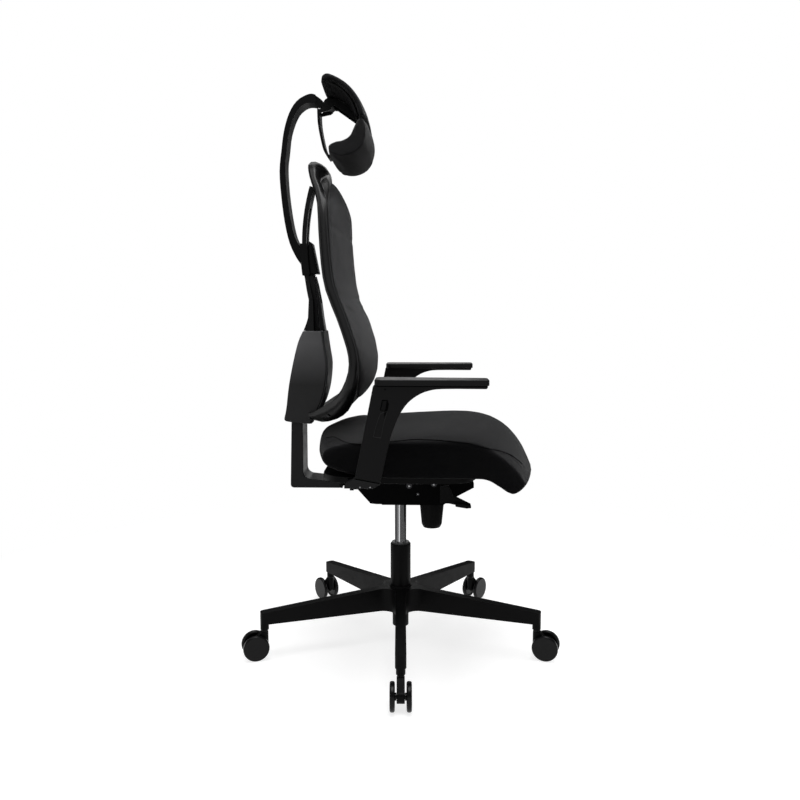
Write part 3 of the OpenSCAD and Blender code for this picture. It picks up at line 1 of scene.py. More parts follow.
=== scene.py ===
# %% [markdown]
# # An ergonomic office chair
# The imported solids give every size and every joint. This lesson dresses them: first the camera and
# the light, then the finishes, the hard parts and the cushions, and last the small trim. All
# lengths are in metres. +Z is up, +X is the front of the chair, +Y is the sitter's left.

# %% Load the fixed frame
import json
import math

import bmesh
import bpy
from mathutils import Matrix, Vector, noise
from mathutils.bvhtree import BVHTree


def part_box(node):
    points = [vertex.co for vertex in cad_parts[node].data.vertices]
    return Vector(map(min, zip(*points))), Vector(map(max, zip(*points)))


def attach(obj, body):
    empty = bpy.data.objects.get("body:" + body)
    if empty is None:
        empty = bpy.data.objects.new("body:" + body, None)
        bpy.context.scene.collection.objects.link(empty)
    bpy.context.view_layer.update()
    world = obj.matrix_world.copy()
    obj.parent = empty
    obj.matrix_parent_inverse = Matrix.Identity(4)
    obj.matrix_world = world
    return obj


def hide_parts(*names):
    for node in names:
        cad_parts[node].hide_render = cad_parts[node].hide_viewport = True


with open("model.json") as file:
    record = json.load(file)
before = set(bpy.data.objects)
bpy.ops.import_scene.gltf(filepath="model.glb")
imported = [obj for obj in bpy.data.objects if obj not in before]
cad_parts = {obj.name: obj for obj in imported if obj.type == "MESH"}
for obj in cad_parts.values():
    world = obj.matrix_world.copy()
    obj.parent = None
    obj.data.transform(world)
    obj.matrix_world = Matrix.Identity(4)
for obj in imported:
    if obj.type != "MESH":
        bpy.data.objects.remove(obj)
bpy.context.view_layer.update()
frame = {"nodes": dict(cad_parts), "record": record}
nodes = frame["nodes"]
scene = bpy.context.scene

# %% [markdown]
# ## Camera
# The photograph was taken from the right side of the chair, from just under two metres away, at
# about the height of the back cushion, looking down by some six degrees. A lens of 35 mm gives the
# same perspective: the near arm pad looks larger than the far one.

# %% Place the camera
EYE = Vector((0.0529, -1.8984, 0.8109))
LOOK_DOWN = math.radians(6.217)
LOOK_TURN = math.radians(1.64)
LENS_MM, SENSOR_MM = 35.35, 36
NEAR_CLIP, FAR_CLIP = 0.05, 60


def in_scene(name, data):
    """A new object of some data, linked to the scene."""
    made = bpy.data.objects.new(name, data)
    scene.collection.objects.link(made)
    return made


def aim(thing, place, way):
    """Puts a camera or lamp at a place and lets it look along a way."""
    thing.location = place
    thing.rotation_mode = "QUATERNION"
    thing.rotation_quaternion = way.to_track_quat("-Z", "Y")


look = Vector((-math.sin(LOOK_TURN) * math.cos(LOOK_DOWN),
               math.cos(LOOK_TURN) * math.cos(LOOK_DOWN), -math.sin(LOOK_DOWN)))
camera = in_scene("camera", bpy.data.cameras.new("camera"))
camera.data.lens = LENS_MM
camera.data.sensor_width = SENSOR_MM
camera.data.clip_start, camera.data.clip_end = NEAR_CLIP, FAR_CLIP
aim(camera, EYE, look)
scene.camera = camera
scene.view_settings.view_transform = "Standard"
print("camera at", tuple(round(v, 3) for v in EYE))

# %% [markdown]
# ## Light, floor and backdrop
# The studio is a white sweep with a large soft light overhead and weaker ones at both sides, behind
# the chair and beside the camera. The world shows white to the camera and in reflections, and
# lights the chair at a lower level. The floor is white for the camera, too, but keeps a soft
# shadow under the casters.


# %% Helpers for node trees
def lone_nodes(tree):
    """Empties a node tree and returns its nodes and links."""
    tree.nodes.clear()
    return tree.nodes, tree.links


def feed(links, place, value):
    """Links an input to a socket, or sets it to a number or a colour."""
    if isinstance(value, bpy.types.NodeSocket):
        links.new(value, place)
    elif isinstance(value, (int, float)):
        place.default_value = value
    else:
        place.default_value = (*value, 1)


def joined(n, links, kind, a, b=0.0):
    """A math node on two values, each a socket or a number."""
    step = n.new("ShaderNodeMath")
    step.operation = kind
    feed(links, step.inputs[0], a)
    feed(links, step.inputs[1], b)
    return step.outputs[0]


def even_shader(n, kind, grey, strength=None):
    """A diffuse, glowing or background shader of one grey."""
    made = n.new(kind)
    made.inputs["Color"].default_value = (grey, grey, grey, 1)
    if strength is not None:
        made.inputs["Strength"].default_value = strength
    return made.outputs[0]


def blended(n, links, share, first, second):
    """A mix of two shaders: the first where share is 0, the second where it is 1."""
    mix = n.new("ShaderNodeMixShader")
    for place, source in zip(mix.inputs, (share, first, second)):
        links.new(source, place)
    return mix.outputs[0]


def seen_directly(n, links):
    """1 for camera, mirror and glass rays, 0 for the rays that light the chair."""
    path = n.new("ShaderNodeLightPath").outputs
    mirrored = joined(n, links, "MAXIMUM", path["Is Camera Ray"], path["Is Glossy Ray"])
    return joined(n, links, "MAXIMUM", mirrored, path["Is Transmission Ray"])


print("node helpers ready")

# %% World
AMBIENT = 0.06
world = bpy.data.worlds.new("studio")
scene.world = world
world.use_nodes = True
n, links = lone_nodes(world.node_tree)
lighting = even_shader(n, "ShaderNodeBackground", 1.0, AMBIENT)
shown = even_shader(n, "ShaderNodeBackground", 1.0, 1.0)
out = n.new("ShaderNodeOutputWorld")
links.new(blended(n, links, seen_directly(n, links), lighting, shown), out.inputs[0])
print("the world lights the chair at", AMBIENT)

# %% Floor
FLOOR_REACH, FLOOR_SIDES = 9.0, 96
FLOOR_GREY, FLOOR_BOUNCE, FLOOR_GLOW = 0.5, 0.2, 0.77
SHADOW_REACH = (0.75, 1.5)


def mesh_from(bm, name):
    """A mesh made of a bmesh, which is freed."""
    mesh = bpy.data.meshes.new(name)
    bm.to_mesh(mesh)
    bm.free()
    return mesh


def bare_material(name):
    """A material with an empty node tree, and the tree's nodes and links."""
    made = bpy.data.materials.new(name)
    made.use_nodes = True
    return (made, *lone_nodes(made.node_tree))


def mapped(n, links, value, start, end, low=0.0, high=1.0):
    """Turns the span from start to end into the span from low to high."""
    ramp = n.new("ShaderNodeMapRange")
    for name, number in (("From Min", start), ("From Max", end), ("To Min", low), ("To Max", high)):
        ramp.inputs[name].default_value = number
    links.new(value, ramp.inputs["Value"])
    return ramp.outputs["Result"]


disc = bmesh.new()
bmesh.ops.create_circle(disc, cap_ends=True, segments=FLOOR_SIDES, radius=FLOOR_REACH)
floor = in_scene("floor", mesh_from(disc, "floor"))
sweep, n, links = bare_material("white sweep")
lit = n.new("ShaderNodeAddShader")
links.new(even_shader(n, "ShaderNodeBsdfDiffuse", FLOOR_GREY), lit.inputs[0])
links.new(even_shader(n, "ShaderNodeEmission", 1.0, FLOOR_GLOW), lit.inputs[1])
where, away = n.new("ShaderNodeTexCoord"), n.new("ShaderNodeVectorMath")
away.operation = "LENGTH"
links.new(where.outputs["Object"], away.inputs[0])
far = mapped(n, links, away.outputs["Value"], *SHADOW_REACH)
shown = blended(n, links, far, lit.outputs[0], even_shader(n, "ShaderNodeEmission", 1.0))
dim = even_shader(n, "ShaderNodeBsdfDiffuse", FLOOR_BOUNCE)
out = n.new("ShaderNodeOutputMaterial")
links.new(blended(n, links, seen_directly(n, links), dim, shown), out.inputs[0])
floor.data.materials.append(sweep)
print("floor radius:", FLOOR_REACH)

# %% Lamps
# Each lamp has its place, the point it looks at, its width and height, and its power in watts.
LAMPS = {
    "overhead": ((0.25, -0.1, 3.0), (0.0, 0.0, 0.6), (2.6, 1.8), 75),
    "front_side": ((2.6, -1.0, 1.9), (0.0, 0.0, 0.6), (1.2, 1.8), 14),
    "rear_side": ((-2.5, -1.3, 1.9), (-0.1, 0.0, 0.7), (1.0, 1.8), 16),
    "behind_left": ((-1.9, 2.6, 2.2), (0.0, 0.0, 0.7), (1.4, 1.8), 9),
    "behind_right": ((2.2, 2.4, 2.2), (0.0, 0.0, 0.7), (1.4, 1.8), 7),
    "beside_camera": ((0.4, -3.4, 2.2), (0.0, 0.0, 0.6), (1.6, 1.2), 3),
}
for name, (place, target, size, power) in LAMPS.items():
    data = bpy.data.lights.new(name, "AREA")
    data.shape = "RECTANGLE"
    data.size, data.size_y = size
    data.energy = power
    aim(in_scene(name, data), place, Vector(target) - Vector(place))
print("lamps:", len(LAMPS))

# %% [markdown]
# Polished metal in an all-white room looks flat. A studio hangs grey and black cloths, called
# flags, round the set, so that chrome shows dark bands beside a bright one. Each flag here is a
# part of a cylinder round the chair's axis: an upright edge that is spun through an angle. The tall
# ones stand far out. The low ones stand near the column, because a low mirror that is seen from
# above shows the floor. Reflections alone see the flags: they throw no shadow and take away no
# light.

# %% Flags
# A flag runs from one azimuth to another, in degrees from the camera's side.
TALL_FLAGS = {"left": (-75, -42), "right": (48, 76), "rear_left": (-172, -112),
              "rear_right": (112, 172)}
TALL_AT, TALL_LOW, TALL_HIGH, TALL_LEVEL = 2.3, 0.05, 2.45, 0.01
LOW_FLAGS = {"rear_left": (-180, -82, 0.08), "left": (-82, -36, 0.24), "right": (-12, 95, 0.12),
             "rear_right": (95, 180, 0.04)}
LOW_AT, LOW_LOW, LOW_HIGH = 0.5, 0.09, 0.27
FLAG_STEPS = 24
UNSEEN_BY = ("camera", "diffuse", "shadow", "transmission", "volume_scatter")


def flag(name, start, end, reach, low, high, level):
    """A curved cloth that reads as one even grey in a reflection."""
    bm = bmesh.new()
    ends = [bm.verts.new((0, -reach, z)) for z in (low, high)]
    bmesh.ops.spin(bm, geom=ends + [bm.edges.new(ends)], cent=(0, 0, 0), axis=(0, 0, 1),
                   angle=math.radians(end - start), steps=FLAG_STEPS)
    turn = Matrix.Rotation(math.radians(start), 3, "Z")
    bmesh.ops.rotate(bm, verts=bm.verts, matrix=turn)
    cloth = in_scene(name, mesh_from(bm, name))
    made, n, links = bare_material(name + " cloth")
    out = n.new("ShaderNodeOutputMaterial")
    links.new(even_shader(n, "ShaderNodeEmission", level), out.inputs[0])
    cloth.data.materials.append(made)
    for kind in UNSEEN_BY:
        setattr(cloth, "visible_" + kind, False)


for name, (start, end) in TALL_FLAGS.items():
    flag("flag_" + name, start, end, TALL_AT, TALL_LOW, TALL_HIGH, TALL_LEVEL)
for name, (start, end, level) in LOW_FLAGS.items():
    flag("low_flag_" + name, start, end, LOW_AT, LOW_LOW, LOW_HIGH, level)
print("flags:", len(TALL_FLAGS) + len(LOW_FLAGS))

# %% [markdown]
# ## Finishes
# Nearly everything on this chair is black, so the finishes differ in gloss, grain and weave rather
# than in colour. Each material starts from the same recipe: a slow drift of the colour, an uneven
# gloss, and a fine bump at the real scale of the grain. All patterns read the object's own
# coordinates in metres.

# %% The recipe for moulded and painted surfaces
NOISE_SPAN = (0.3, 0.7)
DRIFT_SIZE, GLOSS_SIZE = 0.09, 0.02
GLOSS_SHARE = 0.12
EDGE_WEAR_HIGHLIGHT_FROM, EDGE_WEAR_HIGHLIGHT_TO = 0.53, 0.60
EDGE_WEAR_HIGHLIGHT_GAIN, EDGE_WEAR_HIGHLIGHT_ADD = 2.6, 0.01


def noise_at(n, links, size, detail=2.0):
    """Noise whose lumps are about size metres across."""
    where, field = n.new("ShaderNodeTexCoord"), n.new("ShaderNodeTexNoise")
    field.inputs["Scale"].default_value = 1 / size
    field.inputs["Detail"].default_value = detail
    links.new(where.outputs["Object"], field.inputs["Vector"])
    return field.outputs["Fac"]


def spread(n, links, value, low, high):
    """Stretches noise, which lies mostly in its middle span, from low to high."""
    return mapped(n, links, value, *NOISE_SPAN, low, high)


def mixed(n, links, share, first, second, way="MIX"):
    """A mix of two colours. Each value is a socket, a number or a colour."""
    mixer = n.new("ShaderNodeMix")
    mixer.data_type = "RGBA"
    mixer.blend_type = way
    for place, value in ((0, share), (6, first), (7, second)):
        feed(links, mixer.inputs[place], value)
    return mixer.outputs[2]


def bumped(n, links, height, depth):
    """A normal from a height pattern of some depth."""
    bump = n.new("ShaderNodeBump")
    bump.inputs["Distance"].default_value = depth
    bump.inputs["Strength"].default_value = 1.0
    links.new(height, bump.inputs["Height"])
    return bump.outputs["Normal"]


def with_painted_reflection_fade(n, links, tint, low_z, high_z, low_gain):
    """A tint that gets darker from one height down to another: a painted reflection, light above and
    painted shade below.
    """
    place, split = n.new("ShaderNodeTexCoord"), n.new("ShaderNodeSeparateXYZ")
    links.new(place.outputs["Object"], split.inputs[0])
    scaled = n.new("ShaderNodeVectorMath")
    scaled.operation = "SCALE"
    links.new(tint, scaled.inputs[0])
    links.new(mapped(n, links, split.outputs["Z"], low_z, high_z, low_gain, 1.0),
              scaled.inputs["Scale"])
    return scaled.outputs[0]


def edges_worn_and_highlit(n, links, tint, colour, wear_and_highlight):
    """A tint that is lighter where the surface sticks out: partly rubbed wear, partly a painted
    highlight on the edges.
    """
    shape = n.new("ShaderNodeNewGeometry")
    share = mapped(n, links, shape.outputs["Pointiness"], EDGE_WEAR_HIGHLIGHT_FROM, EDGE_WEAR_HIGHLIGHT_TO, 0.0, wear_and_highlight)
    return mixed(n, links, share, tint, [min(1, c * EDGE_WEAR_HIGHLIGHT_GAIN + EDGE_WEAR_HIGHLIGHT_ADD) for c in colour])


def finish_of(name, colour, roughness, specular=0.3, metallic=0.0, grain=0.0006, depth=0.00002,
              drift=0.12, wear_and_highlight=0.0, painted_reflection_fade=None):
    """A hard surface: base colour, gloss, and a grain of the given size and depth."""
    made = bpy.data.materials.new(name)
    made.use_nodes = True
    n, links = made.node_tree.nodes, made.node_tree.links
    surface = n["Principled BSDF"].inputs
    surface["Metallic"].default_value = metallic
    surface["Specular IOR Level"].default_value = specular
    slow = spread(n, links, noise_at(n, links, DRIFT_SIZE), 0.0, 1.0)
    tint = mixed(n, links, slow, [c * (1 - drift) for c in colour],
                 [c * (1 + drift) for c in colour])
    # Painted reflection: the colour darkens from one height downwards.
    if painted_reflection_fade:
        tint = with_painted_reflection_fade(n, links, tint, *painted_reflection_fade)
    # Lighter edges: partly real wear, partly a painted highlight.
    if wear_and_highlight:
        tint = edges_worn_and_highlit(n, links, tint, colour, wear_and_highlight)
    links.new(tint, surface["Base Color"])
    uneven = noise_at(n, links, GLOSS_SIZE, 4.0)
    links.new(spread(n, links, uneven, roughness * (1 - GLOSS_SHARE),
                     roughness * (1 + GLOSS_SHARE)), surface["Roughness"])
    links.new(bumped(n, links, noise_at(n, links, grain, 1.0), depth), surface["Normal"])
    return made


print("recipe ready: slow drift over", DRIFT_SIZE, "m, uneven gloss over", GLOSS_SIZE, "m")

# %% Finishes of the hard parts
nylon = finish_of("moulded nylon", (0.0040, 0.0040, 0.0042), 0.42, 0.07, grain=0.0007,
                  depth=0.00003, wear_and_highlight=0.2)
fine_nylon = finish_of("satin nylon", (0.0050, 0.0050, 0.0053), 0.36, 0.10, grain=0.0005,
                       depth=0.00002, wear_and_highlight=0.15)
# The shell's base colour is a light grey, far lighter than black plastic: a painted reflection,
# which darkens downwards as painted shade.
gloss = finish_of("glossy shell with painted reflection", (0.2100, 0.2100, 0.2160), 0.32, 0.16, grain=0.006,
                  depth=0.000001, painted_reflection_fade=(0.645, 0.745, 0.12))
frame_nylon = finish_of("polished frame", (0.0060, 0.0060, 0.0064), 0.30, 0.18, grain=0.006,
                        depth=0.000001)
stem_nylon = finish_of("dull stem", (0.0060, 0.0060, 0.0063), 0.46, 0.05)
grey_nylon = finish_of("dark grey cover", (0.095, 0.097, 0.102), 0.50, 0.25, grain=0.0008,
                       depth=0.00004)
powder = finish_of("black powder coat", (0.0060, 0.0060, 0.0064), 0.40, 0.16, grain=0.0012,
                   depth=0.00004, wear_and_highlight=0.15)
casting = finish_of("painted casting", (0.0028, 0.0028, 0.0030), 0.50, 0.03, grain=0.0015,
                    depth=0.00006)
chrome = finish_of("hard chrome", (0.55, 0.555, 0.565), 0.10, 0.5, metallic=1.0, grain=0.0004,
                   depth=0.000002, drift=0.03)
zinc = finish_of("black zinc", (0.035, 0.035, 0.037), 0.35, 0.5, metallic=1.0, grain=0.0008,
                 depth=0.00001)
# Bright steel for small spots that stand in for glints on the screw heads: painted highlight.
glint_steel = finish_of("steel for painted glints", (0.42, 0.42, 0.43), 0.25, 0.5, metallic=1.0, grain=0.0008,
                       depth=0.00001)
bearing_white = finish_of("light bush", (0.05, 0.051, 0.052), 0.35, grain=0.0008, depth=0.00001)
tread = finish_of("wheel tread", (0.0045, 0.0045, 0.0048), 0.24, 0.16, grain=0.002)
foam_skin = finish_of("soft pad skin", (0.0045, 0.0045, 0.0048), 0.42, 0.12, grain=0.0009,
                      depth=0.00005)
# Black for thin plates that stand in for the shade inside recesses: painted shade.
painted_recess_shade = finish_of("painted shade of recesses", (0.0012, 0.0012, 0.0013), 0.6, 0.02, grain=0.0008)
print("hard finishes made")

# %% [markdown]
# ## Upholstery
# The cover is a fine black cloth. Its threads cross at right angles, about one and a half
# millimetres apart. The pattern comes from three sine waves, one along each axis, which are crossed
# in pairs: the surface's normal picks the pair. A little sheen stands for the loose fibres.

# %% The woven cloth
CLOTH_ROUGH, ROUGH_SHARE = 0.85, 0.08
SHEEN_ROUGH = 0.45
FIBRE_SIZE, PATCH_SIZE = 0.0009, 0.05
THREAD_SPAN, THREAD_SHARE = (-0.6, 1.4), 0.28
PATCH_DARK, PATCH_LIGHT = (0.88, 0.88, 0.88), (1.12, 1.12, 1.12)


def woven(n, links, pitch):
    """The height of crossed threads, whichever way the cloth faces."""
    where, place, facing = (n.new("ShaderNode" + kind)
                            for kind in ("TexCoord", "SeparateXYZ", "SeparateXYZ"))
    links.new(where.outputs["Object"], place.inputs[0])
    links.new(where.outputs["Normal"], facing.inputs[0])
    waves = [joined(n, links, "SINE", joined(n, links, "MULTIPLY", along, 2 * math.pi / pitch))
             for along in place.outputs]
    weave = 0.0
    for axis, normal in enumerate(facing.outputs):
        crossing = joined(n, links, "MULTIPLY", waves[(axis + 1) % 3], waves[(axis + 2) % 3])
        share = joined(n, links, "MULTIPLY", normal, normal)
        weave = joined(n, links, "ADD", weave, joined(n, links, "MULTIPLY", crossing, share))
    return weave


def cloth_of(name, colour, sheen, specular, pitch=0.0015, depth=0.00018):
    """A woven cloth of some colour and thread pitch."""
    made = bpy.data.materials.new(name)
    made.use_nodes = True
    n, links = made.node_tree.nodes, made.node_tree.links
    surface = n["Principled BSDF"].inputs
    surface["Specular IOR Level"].default_value = specular
    surface["Sheen Weight"].default_value = sheen
    surface["Sheen Roughness"].default_value = SHEEN_ROUGH
    fibre = noise_at(n, links, FIBRE_SIZE, 3.0)
    height = joined(n, links, "ADD", woven(n, links, pitch), fibre)
    links.new(bumped(n, links, height, depth), surface["Normal"])
    tint = mixed(n, links, mapped(n, links, height, *THREAD_SPAN),
                 [c * (1 - THREAD_SHARE) for c in colour], [c * (1 + THREAD_SHARE) for c in colour])
    patches = spread(n, links, noise_at(n, links, PATCH_SIZE, 3.0), 0, 1)
    shade = mixed(n, links, patches, PATCH_DARK, PATCH_LIGHT)
    links.new(mixed(n, links, 1.0, tint, shade, "MULTIPLY"), surface["Base Color"])
    links.new(spread(n, links, fibre, CLOTH_ROUGH * (1 - ROUGH_SHARE),
                     CLOTH_ROUGH * (1 + ROUGH_SHARE)), surface["Roughness"])
    return made


seat_cloth = cloth_of("seat cloth", (0.0125, 0.0125, 0.0132), 0.12, 0.05)
side_cloth = cloth_of("seat side cloth", (0.0060, 0.0060, 0.0063), 0.05, 0.03)
back_cloth = cloth_of("back cloth", (0.038, 0.038, 0.0397), 0.15, 0.06)
head_cloth = cloth_of("headrest cloth", (0.014, 0.014, 0.0147), 0.12, 0.05, 0.0012, 0.00012)
roll_cloth = cloth_of("neck roll cloth", (0.022, 0.022, 0.023), 0.15, 0.05, 0.0012, 0.00012)
print("cloths made")

# %% [markdown]
# ## Copies of the solids
# A solid from the frame is a set of loose triangles and is never changed. A finished part starts
# from a copy of it: the triangles are merged, flat areas become single faces, and then its sharp
# edges can be rounded with a bevel, as every moulded or bent part has them.

# %% Copy, merge and round
MERGE_UNDER = 0.00002
FLAT_UNDER = math.radians(0.6)
SHARP_OVER = math.radians(38)
SMOOTH_DEGREES = 35
frame_body = {}
for body, members in frame["record"]["behaviour"]["bodies"].items():
    for member in members:
        frame_body[member] = body


def copy_of(mesh):
    """A bmesh of a solid with its triangles merged."""
    bm = bmesh.new()
    bm.from_mesh(mesh)
    bmesh.ops.remove_doubles(bm, verts=bm.verts, dist=MERGE_UNDER)
    return bm


def fold_at(edge):
    """The angle between the two faces at an edge, or 0 at an open edge."""
    return edge.calc_face_angle(0) if len(edge.link_faces) == 2 else 0


def bevel(bm, edges, radius, segments):
    """Rounds some edges of a bmesh."""
    bmesh.ops.bevel(bm, geom=edges, offset=radius, offset_type="OFFSET", affect="EDGES",
                    segments=segments, profile=0.5, material=-1, clamp_overlap=True)


def piece_from(bm, name, material, body, node=None, smooth_angle=SMOOTH_DEGREES):
    """An object of a bmesh, smooth but for its sharp edges, which rides on a body."""
    for face in bm.faces:
        face.smooth = True
    for edge in bm.edges:
        edge.smooth = fold_at(edge) <= math.radians(smooth_angle)
    piece = in_scene(name, mesh_from(bm, name))
    piece.data.materials.append(material)
    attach(piece, body)
    if node:
        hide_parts(node)
    return piece


def rounded(node, material, radius, segments=2, smooth_angle=SMOOTH_DEGREES):
    """A copy of a solid with its sharp edges rounded."""
    bm = copy_of(nodes[node].data)
    bmesh.ops.dissolve_limit(bm, angle_limit=FLAT_UNDER, verts=bm.verts, edges=bm.edges)
    if radius:
        bevel(bm, [edge for edge in bm.edges if fold_at(edge) > SHARP_OVER], radius, segments)
    bmesh.ops.triangulate(bm, faces=[f for f in bm.faces if len(f.verts) > 4])
    piece = piece_from(bm, node + "_finished", material, frame_body[node], node, smooth_angle)
    even = piece.modifiers.new("even shading", "WEIGHTED_NORMAL")
    even.keep_sharp = True
    return piece


print("copies come from", len(frame_body), "solids")

# %% [markdown]
# ## Hard parts
# Each group has its own finish and edge radius: the moulded base has soft edges of two millimetres,
# bent steel has small ones, and the moulded sleeves of the arms have large ones.

# %% Base, casters and column
rounded("base_star", nylon, 0.0022, 3)
rounded("column_tube", nylon, 0.0008)
rounded("column_bush", bearing_white, 0.0006)
rounded("caster_stems", powder, 0.0006)
for k in range(1, 6):
    rounded("caster_body_%d" % k, nylon, 0.0012)
    for side in "ab":
        rounded("caster_wheel_%d%s" % (k, side), tread, 0, smooth_angle=42)
print("base, casters and column finished")

# %% Mechanism and back carrier
rounded("mech_housing", casting, 0.0015)
rounded("tilt_arm", casting, 0.0012)
rounded("tension_knob", nylon, 0.002, 3)
rounded("height_lever", nylon, 0.002, 3)
rounded("tilt_lever", nylon, 0.002, 3)
rounded("back_bar", powder, 0.0025, 3)
rounded("back_bar_cap", nylon, 0.0008)
rounded("seat_carrier", powder, 0.0006)
rounded("seat_pan", nylon, 0.0015)
rounded("arm_brackets", powder, 0.0012)
print("mechanism and carrier finished")

# %% Back housing, spine, headrest and arms
rounded("back_housing_rear", gloss, 0.003, 4)
rounded("back_housing_front", grey_nylon, 0.002, 3)
rounded("spine", fine_nylon, 0.003, 3)
rounded("headrest_clamp", nylon, 0.0015)
rounded("headrest_stem", stem_nylon, 0.006, 4)
rounded("headrest_mount", nylon, 0.0012)
rounded("headrest_shell", nylon, 0)
rounded("headrest_strap", nylon, 0.001)
frame_tube = rounded("back_frame", frame_nylon, 0, smooth_angle=46)
for side in ("left", "right"):
    rounded("arm_sleeve_" + side, fine_nylon, 0.003, 4)
    rounded("arm_button_" + side, nylon, 0.001)
print("back, headrest and arms finished")

# %% [markdown]
# The tube's arch over the cushion is a little flatter than its sides: the moulding is drawn in from
# the front there. The points near the top are moved towards the rear line, more the higher they
# lie.

# %% Draw the arch in
ARCH_REAR, ARCH_DRAW = -0.2147, 0.19
ARCH_START, ARCH_FULL = 1.07, 1.12


def eased(value, low, high):
    """A share from 0 to 1 that starts and ends gently."""
    t = min(max((value - low) / (high - low), 0), 1)
    return t * t * (3 - 2 * t)


for v in frame_tube.data.vertices:
    v.co.x -= (v.co.x - ARCH_REAR) * ARCH_DRAW * eased(v.co.z, ARCH_START, ARCH_FULL)
print("arch drawn in by", ARCH_DRAW)

# %% [markdown]
# ## Turned steel
# The gas cylinder, the rod, the axles, pins, springs and screws are turned or bent steel. Their
# edges are crisp on the real chair, so they need no copy: the solids stay, and only a metal finish
# is put on them.

# %% Solids that keep their shape
KEPT = {"gas_cylinder": chrome, "piston_rod": chrome}
for node in ("thrust_bearing", "release_pin", "tilt_axle", "seat_axle", "tilt_springs",
             "mech_screws", "release_rocker", "back_screws", "link_pin", "arm_screws"):
    KEPT[node] = zinc
for node, material in KEPT.items():
    mesh = nodes[node].data
    mesh.materials.clear()
    mesh.materials.append(material)
print("kept solids:", len(KEPT))

# %% [markdown]
# ## Cushions
# Each cushion is foam under a sewn cover. The copy of the solid is remeshed into even small
# squares, softened a little, and then blown up as cloth under pressure while its seams are held.
# So the cover swells between the seams, as foam does. A cap keeps each point near the form that it
# came from.

# %% Remesh and simulate
COVER = {"quality": 5, "mass": 0.3, "tension_stiffness": 15, "compression_stiffness": 15,
         "shear_stiffness": 5, "bending_stiffness": 0.5, "use_pressure": True,
         "uniform_pressure_force": 3, "vertex_group_mass": "held"}
SWELL_FRAMES = 14
FREE_SHARE = 0.8
RIPPLE_SLOW, RIPPLE_FINE, FINE_SHARE = 16, 55, 0.25


def mesh_with_modifiers(source):
    """The final mesh of an object. The object itself is removed."""
    bpy.context.view_layer.update()
    graph = bpy.context.evaluated_depsgraph_get()
    mesh = bpy.data.meshes.new_from_object(source.evaluated_get(graph))
    bpy.data.objects.remove(source)
    return mesh


def remeshed(node, voxel):
    """An even copy of a solid as a new mesh."""
    start = in_scene(node + "_start", mesh_from(copy_of(nodes[node].data), node + "_start"))
    grid = start.modifiers.new("even squares", "REMESH")
    grid.mode = "VOXEL"
    grid.voxel_size = voxel
    return mesh_with_modifiers(start)


def swollen(mesh, held, cap):
    """Blows a mesh up as cloth while some points are held, and returns each point's move."""
    cover = in_scene("cover", mesh.copy())
    group = cover.vertex_groups.new(name="held")
    group.add([v.index for v in mesh.vertices if held(v.co)], 1.0, "REPLACE")
    cloth = cover.modifiers.new("cover", "CLOTH")
    for setting, value in COVER.items():
        setattr(cloth.settings, setting, value)
    cloth.settings.effector_weights.gravity = 0
    cloth.point_cache.frame_start, cloth.point_cache.frame_end = 1, SWELL_FRAMES
    for f in range(1, SWELL_FRAMES + 1):
        scene.frame_set(f)
    posed = cover.evaluated_get(bpy.context.evaluated_depsgraph_get())
    shape = posed.to_mesh()
    out = [(b.co - a.co).length for a, b in zip(mesh.vertices, shape.vertices)]
    posed.to_mesh_clear()
    bpy.data.objects.remove(cover)
    scene.frame_set(1)
    free = sorted(out)[int(len(out) * FREE_SHARE)]
    print("the cloth moved %.1f mm where it swelled freely" % (free * 1000))
    return [cap * min(1, far / free) for far in out]


def cushion(node, name, material, voxel, held, cap, proud=0.001, groove=None, resting=None,
            soften=2, ripple=0.0005):
    """A padded piece made from a solid: held points stay in while the rest swells."""
    mesh = remeshed(node, voxel)
    bm = bmesh.new()
    bm.from_mesh(mesh)
    for _ in range(soften):
        bmesh.ops.smooth_vert(bm, verts=bm.verts, factor=0.5, use_axis_x=True, use_axis_y=True,
                              use_axis_z=True)
    bm.to_mesh(mesh)
    moves = swollen(mesh, held, cap)
    bm.normal_update()
    steps = []
    for v, move in zip(bm.verts, moves):
        rise = move - cap + proud
        if resting:
            rise *= 1 - resting(v.co)
        rise += noise.noise(v.co * RIPPLE_SLOW) * ripple
        rise += noise.noise(v.co * RIPPLE_FINE) * ripple * FINE_SHARE
        if groove:
            rise -= groove(v.co, v.normal)
        steps.append(v.normal * rise)
    for v, step in zip(bm.verts, steps):
        v.co += step
    bpy.data.meshes.remove(mesh)
    piece = piece_from(bm, name, material, frame_body[node], node, smooth_angle=180)
    finer = piece.modifiers.new("finer", "SUBSURF")
    finer.levels = finer.render_levels = 1
    print(name, "made of", len(piece.data.vertices), "points")
    return piece


def dip(distance, width, depth):
    """The shape of a sewn groove: deepest at distance 0, gone at three widths."""
    return depth * math.exp(-(distance / width) ** 2)


print("cushions swell for", SWELL_FRAMES, "frames")

# %% [markdown]
# ### Seat cushion
# The seat is a saddle-shaped block whose nose rolls down at the front. Its side panels are flat and
# are sewn to the top along a seam that runs from the rear, under the arm, to the nose.

# %% Seat
SEAM_LINE = [(-0.199, 0.520), (-0.146, 0.538), (-0.081, 0.534), (0.040, 0.543), (0.095, 0.542),
             (0.155, 0.537), (0.220, 0.518), (0.250, 0.503), (0.276, 0.479), (0.300, 0.44)]
SEAM_HELD, SEAM_WIDTH, SEAM_DEPTH = 0.006, 0.004, 0.0015
SEAM_REACH, GROOVE_REACH = 0.04, 0.055
REST_FULL = 0.9
UNDER_LOW, UNDER_HIGH = 0.03, 0.06
UNDER_INNER, UNDER_OUTER = 0.05, 0.02
PAN_FRONT = (0.20, 0.24)
seat_low, seat_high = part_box("seat_cushion")
SEAT_HALF = seat_high.y


